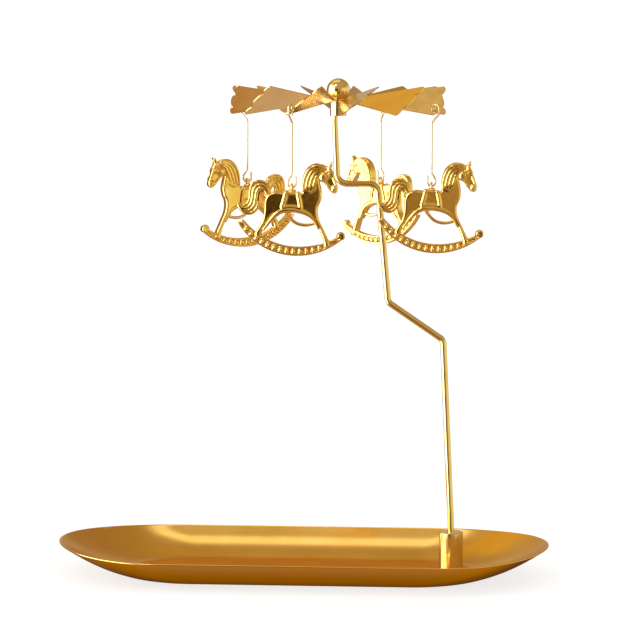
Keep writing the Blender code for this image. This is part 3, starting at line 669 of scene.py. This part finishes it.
def build_fan(material):
    """The hub and its blades in one sheet, with drilled holes and softened edges. The
    panels and the hub are shaded flat, and only the twisted necks smooth."""
    half = HUB_THICKNESS / 2
    bore = NECK_RADIUS + GAP
    hub = turned(((bore, -half), (HUB_RADIUS, -half), (HUB_RADIUS, half), (bore, half)))
    blades = [blade_mesh(BLADE_PHASE + 360.0 * k / BLADES) for k in range(BLADES)]
    star = combine(hub, blades, "UNION")
    drills = []
    for bearing in HOOK_BEARINGS:
        angle = radians(bearing)
        centre = (HOOK_REACH * cos(angle), HOOK_REACH * sin(angle))
        drills.append(turned(((0.0, -12.0), (HOLE_RADIUS, -12.0), (HOLE_RADIUS, 4.0),
                              (0.0, 4.0)), centre, 32))
    star = combine(star, drills, "DIFFERENCE")
    star.transform(Matrix.Translation((AXIS_X * MM, 0.0, FAN_LEVEL * MM)))

    def set_up(obj):
        bevel = obj.modifiers.new("soft_edges", "BEVEL")
        bevel.width, bevel.segments = FAN_EDGE * MM, 2
        bevel.limit_method = "ANGLE"
        bevel.angle_limit = radians(50.0)

    star = applied(star, set_up)
    fan = finished("fan_stamped", star, material, 40.0)
    for face in star.polygons:
        reach = hypot(face.center.x - AXIS_X * MM, face.center.y)
        if reach > (NECK_END + 0.5) * MM or reach < HUB_RADIUS * 0.8 * MM:
            face.use_smooth = False
    return fan


def hook_hole(bearing):
    """Centre of a hook's hole in its blade, from the tilt of the blade there."""
    off_centre = (bearing - BLADE_PHASE + 180.0 / BLADES) % (360.0 / BLADES) - 180.0 / BLADES
    rise = HOOK_REACH * sin(radians(off_centre)) * tan(radians(BLADE_TILT))
    angle = radians(bearing)
    return Vector((AXIS_X + HOOK_REACH * cos(angle), HOOK_REACH * sin(angle),
                   FAN_LEVEL + rise))


def hook_path(bearing, open_bearing, drop):
    """The wire, from its short end under the blade, through the hole, round the blade's
    outer edge, down the shank and round the lower hook. The blade hole is the origin."""
    out = Vector((cos(radians(bearing)), sin(radians(bearing)), 0.0))
    opening = Vector((cos(radians(open_bearing)),
                      sin(radians(open_bearing)), 0.0))
    eye_bend = EYE_WIDTH / 2 * NEARLY_ROUND
    half = HOOK_BEND_RADIUS

    corners = (           # outwards, towards the hook's open side, up, bend radius
        (0.0, 0.0, EYE_SHORT_END, 0.0),
        (0.0, 0.0, EYE_TOP, eye_bend),
        (EYE_WIDTH, 0.0, EYE_TOP, eye_bend),
        (EYE_WIDTH, 0.0, EYE_RETURN, EYE_CORNER_BEND),
        (0.0, 0.0, EYE_BOTTOM, EYE_CORNER_BEND),
        (0.0, 0.0, HOOK_KINK - drop, KINK_BEND),
        (0.0, -half, HOOK_SHOULDER - drop, SHOULDER_BEND),
        (0.0, -half, -drop, half * NEARLY_ROUND),
        (0.0, half, -drop, half * NEARLY_ROUND),
        (0.0, half, HOOK_OPEN_END - drop, 0.0),
    )
    return rounded_path([(out * u + opening * v + Vector((0.0, 0.0, w)), bend)
                         for u, v, w, bend in corners], 10)


def build_hooks(material):
    hooks = []
    for k, bearing in enumerate(HOOK_BEARINGS):
        hole = hook_hole(bearing)
        path = hook_path(bearing, HOOK_TURNS[k], hole.z - HANG_LEVEL)
        path, radii = round_ended([hole + point for point in path], WIRE_RADIUS)
        hooks.append(finished(f"wire_{k + 1}", swept(path, radii, 16), material))
    return hooks


# ---- horses

class Clay:
    """A half casting modelled as a signed distance field on a grid (millimetres, negative
    inside). X runs along the horse and Z up from the hook's wire, Y is the depth from the
    middle plane, and the half is mirrored when it becomes a mesh."""

    def __init__(self, low, high, pitch):
        self.pitch = pitch
        self.axes = [a + pitch * np.arange(int(ceil((b - a) / pitch)) + 1)
                     for a, b in zip(low, high)]
        self.field = np.full([len(axis) for axis in self.axes], FAR_OUTSIDE)

    def window(self, low, high):
        """The part of the grid inside a box, as slices and as broadcastable axes."""
        slices = []
        for axis, a, b in zip(self.axes, low, high):
            first = min(int(np.searchsorted(axis, a)), len(axis) - 1)
            slices.append(slice(first, max(int(np.searchsorted(axis, b)), first + 1)))
        x, y, z = (axis[part] for axis, part in zip(self.axes, slices))
        return tuple(slices), x[:, None, None], y[None, :, None], z[None, None, :]

    def add(self, slices, distance, blend, cut=False):
        """Add a shape to the clay, or cut it out, with a crease as wide as the blend."""
        sign = -1.0 if cut else 1.0
        here = sign * self.field[slices]
        mix = np.clip(0.5 + 0.5 * (here - distance) / blend, 0.0, 1.0)
        self.field[slices] = sign * (here + (distance - here) * mix - blend * mix * (1.0 - mix))

    def bar(self, points, radii, blend=0.12, cut=False):
        """A round bar through (x, y, z) points, with a radius at each."""
        points = [np.array(point) for point in points]
        reach = max(radii) + MARGIN
        slices, x, y, z = self.window(np.min(points, axis=0) - reach,
                                      np.max(points, axis=0) + reach)
        nearest = None
        for a, b, start, end in zip(points, points[1:], radii, radii[1:]):
            along = b - a
            offsets = list(zip((x - a[0], y - a[1], z - a[2]), along))
            share = sum(offset * part for offset, part in offsets)
            share = np.clip(share / max(float(along @ along), 1e-9), 0.0, 1.0)
            away = np.sqrt(sum((offset - share * part) ** 2 for offset, part in offsets))
            away = away - start - (end - start) * share
            nearest = away if nearest is None else np.minimum(nearest, away)
        self.add(slices, nearest, blend, cut)

    def egg(self, centre, radii, lean=0.0, blend=0.12, cut=False):
        """An ellipsoid, leaning in the X-Z plane."""
        centre, radii = np.array(centre), np.array(radii)
        reach = float(radii.max()) + MARGIN
        slices, x, y, z = self.window(centre - reach, centre + reach)
        c, s = cos(radians(lean)), sin(radians(lean))
        x, y, z = x - centre[0], y - centre[1], z - centre[2]
        size = np.sqrt(((x * c + z * s) / radii[0]) ** 2 + (y / radii[1]) ** 2
                       + ((z * c - x * s) / radii[2]) ** 2)
        self.add(slices, (size - 1.0) * float(radii.min()), blend, cut)

    def flat_distance(self, outline):
        """Signed distance in the X-Z plane to a closed outline."""
        points = np.array([tuple(p) for p in outline])
        x, z = self.axes[0][:, None], self.axes[2][None, :]
        nearest = np.full((len(self.axes[0]), len(self.axes[2])), 1e9)
        inside = np.zeros(nearest.shape, bool)
        for (ax, az), (bx, bz) in zip(points, np.roll(points, -1, axis=0)):
            dx, dz = bx - ax, bz - az
            share = np.clip(((x - ax) * dx + (z - az) * dz) / (dx * dx + dz * dz), 0.0, 1.0)
            nearest = np.minimum(nearest, (x - ax - share * dx) ** 2 + (z - az - share * dz) ** 2)
            if az != bz:
                inside ^= ((az > z) != (bz > z)) & (x < dx * (z - az) / dz + ax)
        return np.where(inside, -1.0, 1.0) * np.sqrt(nearest)

    def plate(self, flat, half, edge, blend=0.12):
        """A plate with rounded edges. Half its thickness is a number or an X-Z grid."""
        half = np.broadcast_to(half, flat.shape)[:, None, :]
        across = flat[:, None, :] + edge
        deep = self.axes[1][None, :, None] - half + edge
        distance = (np.hypot(np.maximum(across, 0.0), np.maximum(deep, 0.0))
                    + np.minimum(np.maximum(across, deep), 0.0) - edge)
        self.add((slice(None),) * 3, distance, blend)

    def mesh(self):
        """Skin the mirrored field with surface nets, after a slight blur that softens it as
        casting and polishing do."""
        field = np.concatenate((self.field[:, :0:-1, :], self.field), axis=1)
        for axis in range(3):
            field = (np.roll(field, 1, axis) + 2.0 * field + np.roll(field, -1, axis)) / 4.0
        low = np.array([self.axes[0][0], -self.axes[1][-1], self.axes[2][0]])
        inside = field < 0.0
        size, step = np.array(field.shape) - 1, np.eye(3, dtype=int)
        cells = np.zeros(size, np.int8)
        corners = [(i, j, k) for i in (0, 1) for j in (0, 1) for k in (0, 1)]
        for i, j, k in corners:
            cells += inside[i:size[0] + i, j:size[1] + j, k:size[2] + k]
        place = np.argwhere((cells > 0) & (cells < 8))
        number = np.full(cells.shape, -1)
        number[tuple(place.T)] = np.arange(len(place))
        total = np.zeros((len(place), 3))
        count = np.zeros(len(place))
        for corner in corners:
            for axis in (a for a in range(3) if not corner[a]):
                a, b = (field[tuple((place + corner + end).T)] for end in (0, step[axis]))
                crossing = (a < 0.0) != (b < 0.0)
                share = a[crossing] / (a[crossing] - b[crossing])
                total[crossing] += corner + share[:, None] * step[axis]
                count[crossing] += 1
        points = low + (place + total / count[:, None]) * self.pitch
        faces = []
        for axis in range(3):
            u, v = (axis + 1) % 3, (axis + 2) % 3
            edge = np.argwhere(inside != np.roll(inside, -1, axis=axis))
            edge = edge[np.all((edge >= 1 - step[axis]) & (edge < size), axis=1)]
            quad = np.stack([number[tuple((edge - du * step[u] - dv * step[v]).T)]
                             for du, dv in ((1, 1), (0, 1), (0, 0), (1, 0))], axis=1)
            flip = ~inside[tuple(edge.T)]
            quad[flip] = quad[flip][:, ::-1]
            faces.append(quad)
        mesh = bpy.data.meshes.new("mesh")
        mesh.from_pydata((points * MM).tolist(), [], np.concatenate(faces).tolist())
        return mesh


def drawn(points, level, steps=6):
    """A smooth line through X-Z points, at a depth from the casting's middle plane."""
    return [(p.x, level, p.y) for p in smooth_curve(points, steps)]


def lock(clay, points, level, radius):
    """A lock of hair: a bar along a smooth line, thin at both ends."""
    line = drawn(points, level)
    count = len(line) - 1
    radii = [radius * (0.35 + 0.65 * sin(pi * (0.12 + 0.80 * i / count)) ** 0.6)
             for i in range(count + 1)]
    clay.bar(line, radii, 0.10)


def locks(clay, outer, inner, level):
    """Locks side by side from one line to another. Level gives each one's depth."""
    for index in range(LOCKS):
        share = index / (LOCKS - 1)
        points = [tuple(np.array(a) * (1 - share) + np.array(b) * share)
                  for a, b in zip(outer, inner)]
        lock(clay, points, level(share), LOCK_RADIUS)


def model_body(clay):
    """A plate of the body's outline, thinner towards the head."""
    flat = clay.flat_distance(smooth_curve(BODY_OUTLINE, 6, True))
    x, z = clay.axes[0][:, None], clay.axes[2][None, :]
    head = np.clip((x - 12.4 + 0.25 * z) / 2.2, 0.0, 1.0) * np.clip((z + 4.0) / 1.5, 0.0, 1.0)
    clay.plate(flat, 2.1 - 0.75 * head, 1.0)


def model_saddle(clay):
    """Two bars with a broad bright face, joined below by a thick belly band, and a
    scalloped pommel under the hanging ring."""
    for points in SADDLE_BARS:
        line = drawn(points, 1.70, 5)
        clay.bar(line, [1.0] * len(line), 0.05)
    clay.bar([(-3.9, 1.45, -9.2), (-1.4, 1.45, -8.7), (1.4, 1.45, -8.8), (3.8, 1.45, -9.5)],
             [1.1] * 4, 0.25)
    line = drawn(BELLY, 1.50)
    count = len(line) - 1
    clay.bar(line, [0.5 + 0.75 * sin(pi * i / count) for i in range(count + 1)])
    for x in (-1.8, -0.9, 0.0, 0.9, 1.8):
        clay.egg((x, 1.80, -2.7 - 0.06 * x), (0.58, 0.7, 0.8), 0.0, 0.06)
    clay.egg((0.0, 0.0, -1.6), (1.9, 1.5, 0.9), 0.0, 0.5)


def model_head(clay):
    """Cheek, jaw, brow, muzzle, eye, nostril, mouth, ears and forelock."""
    clay.egg((14.3, 1.0, 4.9), (2.1, 1.45, 2.5), -20.0, 0.25)
    clay.bar([(14.6, 1.2, 2.6), (16.2, 1.25, 0.9), (17.8, 1.2, -1.2)], [0.55, 0.6, 0.5], 0.15)
    clay.bar([(16.9, 1.2, 8.2), (18.2, 1.35, 5.8), (19.3, 1.3, 2.8), (20.0, 1.1, 0.6)],
             [0.7, 0.65, 0.6, 0.5], 0.18)
    clay.egg((19.1, 1.05, -0.6), (1.5, 1.25, 1.75), 20.0, 0.15)
    clay.egg((16.8, 1.55, 5.3), (1.3, 0.75, 1.0), -30.0, 0.06)
    clay.egg((16.85, 2.15, 5.25), (0.9, 0.45, 0.62), -30.0, 0.05, True)
    clay.egg((16.85, 1.75, 5.25), (0.55, 0.5, 0.45), 0.0, 0.04)
    clay.bar([(15.4, 1.6, 7.2), (17.0, 1.8, 7.0), (18.2, 1.6, 6.0)], [0.35, 0.45, 0.3], 0.08)
    clay.egg((19.9, 2.15, 0.1), (0.5, 0.55, 0.32), 50.0, 0.06, True)
    clay.bar([(20.9, 1.6, -1.0), (19.0, 2.15, -0.9), (17.9, 1.9, 0.0)],
             [0.24, 0.26, 0.14], 0.06, True)
    clay.bar([(16.6, 0.75, 8.2), (17.3, 0.95, 10.1), (17.9, 1.05, 11.5)], [0.95, 0.8, 0.28], 0.25)
    clay.bar([(17.5, 1.65, 9.2), (18.0, 1.5, 10.9)], [0.42, 0.15], 0.1, True)
    clay.bar([(13.6, 0.0, 9.6), (15.0, 0.3, 8.9), (16.6, 0.5, 8.9)], [0.9, 0.8, 0.7], 0.4)


def model_mane(clay):
    locks(clay, MANE_OUTER, MANE_INNER, lambda share: 1.85 - 0.2 * share)
    lock(clay, MANE_CREST, 0.6, 0.75)
    clay.bar([(6.4, 1.75, -1.9), (8.2, 1.9, -2.0), (10.2, 1.9, -0.9), (11.3, 1.8, 0.9)],
             [0.4, 0.5, 0.45, 0.25], 0.1)


def model_tail(clay):
    clay.plate(clay.flat_distance(smooth_curve(TAIL_OUTLINE, 5, True)), 0.7, 0.5)
    locks(clay, TAIL_OUTER, TAIL_INNER, lambda share: 0.95 + 0.35 * sin(pi * share))


def model_rocker(clay):
    """A curved rail with raised edges, a row of beads between them and a scroll in front.
    Its edges and middle are followed at shares of its width, 0 outside and 1 inside."""
    steps = 40
    rails = {0.0: [], 0.5: [], 1.0: []}
    for step in range(steps + 1):
        share = step / steps
        angle = radians(ROCKER_START + (ROCKER_END - ROCKER_START) * share)
        end_width = ROCKER_REAR_WIDTH if share < 0.5 else ROCKER_FRONT_WIDTH
        width = end_width + (ROCKER_MID_WIDTH - end_width) * sin(pi * share) ** 0.7
        for key, row in rails.items():
            radius = ROCKER_RADIUS - 0.5 - (width - 1.0) * key
            row.append((ROCKER_CENTRE[0] + radius * cos(angle),
                        ROCKER_CENTRE[1] + radius * sin(angle)))
    outline = [Vector(p) for p in rails[0.0] + rails[1.0][::-1]]
    clay.plate(clay.flat_distance(outline), 0.95, 0.3)
    for key in (0.0, 1.0):
        clay.bar([(x, 1.2, z) for x, z in rails[key]], [0.52] * (steps + 1), 0.08)
    for index in range(BEADS):
        step = (0.08 + 0.76 * index / (BEADS - 1)) * steps
        low = int(step)
        a, b = Vector(rails[0.5][low]), Vector(rails[0.5][low + 1])
        spot = a.lerp(b, step - low)
        gap = (Vector(rails[1.0][low]) - Vector(rails[0.0][low])).length
        lean = degrees(atan2(spot.y - ROCKER_CENTRE[1], spot.x - ROCKER_CENTRE[0]))
        clay.egg((spot.x, 0.95, spot.y), (0.95, 1.30, max(0.30 + gap * 0.36, 0.5)), lean + 90.0,
                 0.04)
    curl_x, curl_z = CURL_CENTRE
    disc = [Vector((curl_x + x, curl_z + z)) for x, z in circle(1.95, 24)]
    clay.plate(clay.flat_distance(disc), 1.35, 0.8)
    scroll, sizes = [], []
    for step in range(29):
        turn = radians(-50.0 + 470.0 * step / 28)
        radius = 1.5 - 1.3 * step / 28
        scroll.append((curl_x + radius * cos(turn), 1.15, curl_z + radius * sin(turn)))
        sizes.append(0.62 - 0.12 * step / 28)
    clay.bar(scroll, sizes, 0.06)


def model_fittings(clay):
    """The foot rest below the belly and the hanging ring on its collar."""
    line = drawn(FOOT_REST, 0.0)
    clay.bar(line, [FOOT_REST_RADIUS] * len(line), 0.15)
    clay.bar([(-2.5, 0.9, -10.3), (-1.9, 0.7, -12.4)], [1.0, 0.7], 0.4)
    ring_level = WIRE_RADIUS + GAP - (RING_RADIUS - RING_TUBE)
    slices, x, y, z = clay.window((-2.0, 0.0, -3.0), (2.0, 2.9, 2.5))
    around = np.hypot(y, z - ring_level) - RING_RADIUS
    clay.add(slices, np.hypot(around, x) - RING_TUBE, 0.25)


def horse_mesh():
    clay = Clay(GRID_LOW, GRID_HIGH, GRID_PITCH)
    for model in (model_body, model_saddle, model_head, model_mane, model_tail, model_rocker,
                  model_fittings):
        model(clay)

    def set_up(obj):
        ease = obj.modifiers.new("ease", "SMOOTH")
        ease.factor, ease.iterations = 0.5, 2
        thin = obj.modifiers.new("thin", "DECIMATE")
        thin.ratio = KEPT_FACES
    return applied(clay.mesh(), set_up)


def build_horses(material):
    """The same casting four times; its flat flanks are shaded flat."""
    casting = horse_mesh()
    flanks = [face.index for face in casting.polygons if abs(face.normal.y) > FLANK_NORMAL]
    horses = []
    for k, bearing in enumerate(HOOK_BEARINGS):
        hole = hook_hole(bearing)
        turn = Matrix.Rotation(radians(HORSE_TURNS[k]), 4, "Z")
        mesh = casting.copy()
        mesh.transform(Matrix.Translation(Vector((hole.x, hole.y, HANG_LEVEL)) * MM) @ turn)
        horses.append(finished(f"horse_cast_{k + 1}", mesh, material, 60.0))
        for index in flanks:
            mesh.polygons[index].use_smooth = False
    return horses


# ---- studio

def softbox(name, azimuth, elevation, distance, width, height, colour, strength):
    """A bright card that faces the object. It lights it and shows only in reflections."""
    a, e = radians(azimuth), radians(elevation)
    out = Vector((sin(a) * cos(e), -cos(a) * cos(e), sin(e)))
    centre = Vector(SOFTBOX_TARGET) + out * distance
    right = Vector((cos(a), sin(a), 0.0))
    up = out.cross(right)
    bm = bmesh.new()
    bm.faces.new([bm.verts.new(centre + right * width / 2 * u + up * height / 2 * v)
                  for u, v in ((-1, -1), (1, -1), (1, 1), (-1, 1))])
    card = linked(name, mesh_of(bm))
    material = bpy.data.materials.new(name)
    glow = Tree(material)
    glow.give(glow.tree.nodes["Material Output"].inputs["Surface"],
              glow.node("Emission", "Emission", {"Color": colour, "Strength": strength}))
    card.data.materials.append(material)
    card.visible_camera = False


def build_stage():
    """A pale floor round the object and a pale bowl beyond it that closes every view. Both
    are there for the camera: the metal mirrors the tent instead."""
    pale = Finish("pale_floor", FLOOR_NEAR_PAINTED_SHADE, 0.9, 0.0)
    away = pale.node("VectorMath", "Value", {0: pale.coords}, operation="LENGTH")
    grain = pale.mapped(pale.noise(60.0, 4.0), 0.3, 0.7, -FLOOR_GRAIN, FLOOR_GRAIN)
    # A faint painted shade: the albedo is painted darker near the object, with grain over it.
    spread = pale.node("Math", "Value", {0: pale.mapped(away, 0.10, FLOOR_REACH * MM), 1: grain})
    pale.shade({"Base Color": pale.mixed(spread, FLOOR_NEAR_PAINTED_SHADE, FLOOR_FAR),
                "Specular IOR Level": 0.0, "Emission Color": FLOOR_GLOW_COLOUR,
                "Emission Strength": FLOOR_GLOW})
    floor = turned(((0.0, -2.0), (FLOOR_REACH, -2.0), (FLOOR_REACH, -0.05), (0.0, -0.05)),
                   sides=BOWL_SIDES)
    bm = bmesh.new()
    skin(bm, [[bm.verts.new((x, y, height)) for x, y in circle(radius, BOWL_SIDES)]
              for radius, height in BOWL_PROFILE])
    bowl = mesh_of(bm)
    bowl.shade_smooth()
    for name, mesh in (("floor_disc", floor), ("studio_bowl", bowl)):
        mesh.materials.append(pale.material)
        obj = linked(name, mesh)
        obj.visible_glossy = False


def build_world():
    """What the metal mirrors: a light tent with a bright left wall and a paler right one,
    a dim warm back and ceiling, and its dark opening in front. Plain surfaces get an even
    white."""
    world = bpy.data.worlds.new("studio")
    bpy.context.scene.world = world
    sky = Tree(world)
    direction = sky.node("TexCoord", "Generated", {})
    x, y, z = (sky.part(direction, axis) for axis in "XYZ")

    def ramp(value, stops):
        """A colour for each value from -1 to 1, through the stops."""
        colours = sky.node("ValToRGB", "Color", {"Fac": sky.mapped(value, -1.0, 1.0)})
        elements = colours.node.color_ramp.elements
        elements.remove(elements[0])
        for index, (position, *colour) in enumerate(stops):
            element = elements.new((position + 1) / 2) if index else elements[0]
            element.position = (position + 1) / 2
            element.color = (*colour, 1.0)
        return colours

    def over(under, value, low, high, upper):
        """One part of the tent, giving way to another as a value goes from low to high."""
        return sky.mixed(sky.mapped(value, low, high, kind="SMOOTHSTEP"), under, upper)

    opening = over(ramp(x, OPENING), z, -0.45, -0.75, OPENING_LOW)
    opening = over(opening, z, 0.10, 0.40, OPENING_HIGH)
    back = over(ramp(z, BACK), x, -0.05, 0.20, ramp(z, BACK_RIGHT))
    back = over(back, x, -0.16, -0.32, ramp(z, BACK_LEFT))
    room = over(ramp(z, FRONT), y, -0.15, 0.20, back)
    above = over(ramp(y, CEILING), x, 0.05, 0.30, ramp(z, BACK_RIGHT))
    room = over(room, z, 0.80, 0.90, above)
    room = over(room, x, 0.40, 0.72, ramp(z, RIGHT_SIDE))
    left = over(ramp(z, LEFT_SIDE), y, 0.10, 0.35, ramp(z, LEFT_BACK))
    room = over(room, x, -0.45, -0.70, left)
    room = over(opening, y, -0.96, -0.78, room)
    plain = sky.node("LightPath", "Is Diffuse Ray", {})
    sky.give(sky.tree.nodes["Background"].inputs["Color"], sky.mixed(plain, room, EVEN_LIGHT))


def build_camera():
    data = bpy.data.cameras.new("camera")
    data.sensor_width = SENSOR_WIDTH
    data.lens = CAMERA_FOCAL * SENSOR_WIDTH
    data.clip_start, data.clip_end = 0.02, 20.0
    yaw, pitch, roll = (radians(a) for a in (CAMERA_YAW, CAMERA_PITCH, CAMERA_ROLL))
    turn = (Matrix.Rotation(yaw, 4, "Z") @ Matrix.Rotation(pi / 2 - pitch, 4, "X")
            @ Matrix.Rotation(roll, 4, "Z"))
    camera = linked("camera", data)
    camera.matrix_world = Matrix.Translation(Vector(CAMERA_PLACE) * MM) @ turn
    bpy.context.scene.camera = camera


# ---- assembly

def place(piece, body, slot, node):
    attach(piece, body)
    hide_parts(node)


def main():
    build_camera()
    build_world()
    build_stage()
    for name, card in SOFTBOXES.items():
        softbox(name, *card)
    bpy.context.scene.view_settings.view_transform = "Standard"

    # The tray's under tones are a painted shade: its plating is painted darker on faces that look
    # down, deepest at the foot.
    satin = gilt("satin_gilt", (0.86, 0.51, 0.13), (0.79, 0.44, 0.09), 0.16, 0.035, 45.0,
                 streak=(0.04, 1.0, 1.0), streak_depth=0.0006, wear=(0.95, 0.68, 0.28),
                 under=((0.70, 0.33, 0.07), (0.30, 0.12, 0.02)))
    turned_brass = gilt("turned_brass", (0.90, 0.73, 0.42), (0.82, 0.62, 0.32), 0.20, 0.05, 160.0,
                        streak=(0.05, 0.05, 1.0), streak_depth=0.002, wear=(0.95, 0.78, 0.45))
    polished = gilt("polished_brass", (0.90, 0.70, 0.33), (0.83, 0.60, 0.24), 0.09, 0.03, 180.0)
    rod_gilt = gilt("rod_gilt", (0.88, 0.70, 0.36), (0.82, 0.60, 0.26), 0.16, 0.04, 110.0,
                    streak=(1.0, 1.0, 0.06), streak_depth=0.0010)
    fan_gilt = gilt("fan_gilt", (0.88, 0.58, 0.20), (0.84, 0.53, 0.16), 0.18, 0.04, 90.0)
    wire_gilt = gilt("wire_gilt", (0.93, 0.84, 0.58), (0.88, 0.75, 0.46), 0.34, 0.06, 220.0)
    cast_gilt = gilt("cast_gilt", (0.94, 0.65, 0.22), (0.88, 0.57, 0.16), 0.11, 0.03, 150.0,
                     wear=(0.98, 0.80, 0.42))
    steel = gilt("zinc_steel", (0.62, 0.61, 0.58), (0.50, 0.48, 0.44), 0.34, 0.08, 400.0,
                 wear=(0.80, 0.79, 0.76))

    place(build_tray(satin), "base", "tray_gold", "tray")
    place(build_socket(turned_brass), "base", "socket_brass", "rod_socket")
    place(build_screw(steel), "base", "screw_steel", "base_screw")
    place(build_rod(rod_gilt), "rod", "rod_gold", "rod")
    ball, sleeve = build_pivot(polished, turned_brass)
    place(ball, "carousel", "ball_brass", "pivot_ball")
    place(sleeve, "carousel", "ball_brass", "pivot_sleeve")
    place(build_fan(fan_gilt), "carousel", "fan_gold", "fan")
    for kind, slot, pieces in (("hook", "wire_gold", build_hooks(wire_gilt)),
                               ("horse", "horse_gold", build_horses(cast_gilt))):
        for number, piece in enumerate(pieces, 1):
            place(piece, f"{kind}_{number}", slot, f"{kind}_{number}")


main()
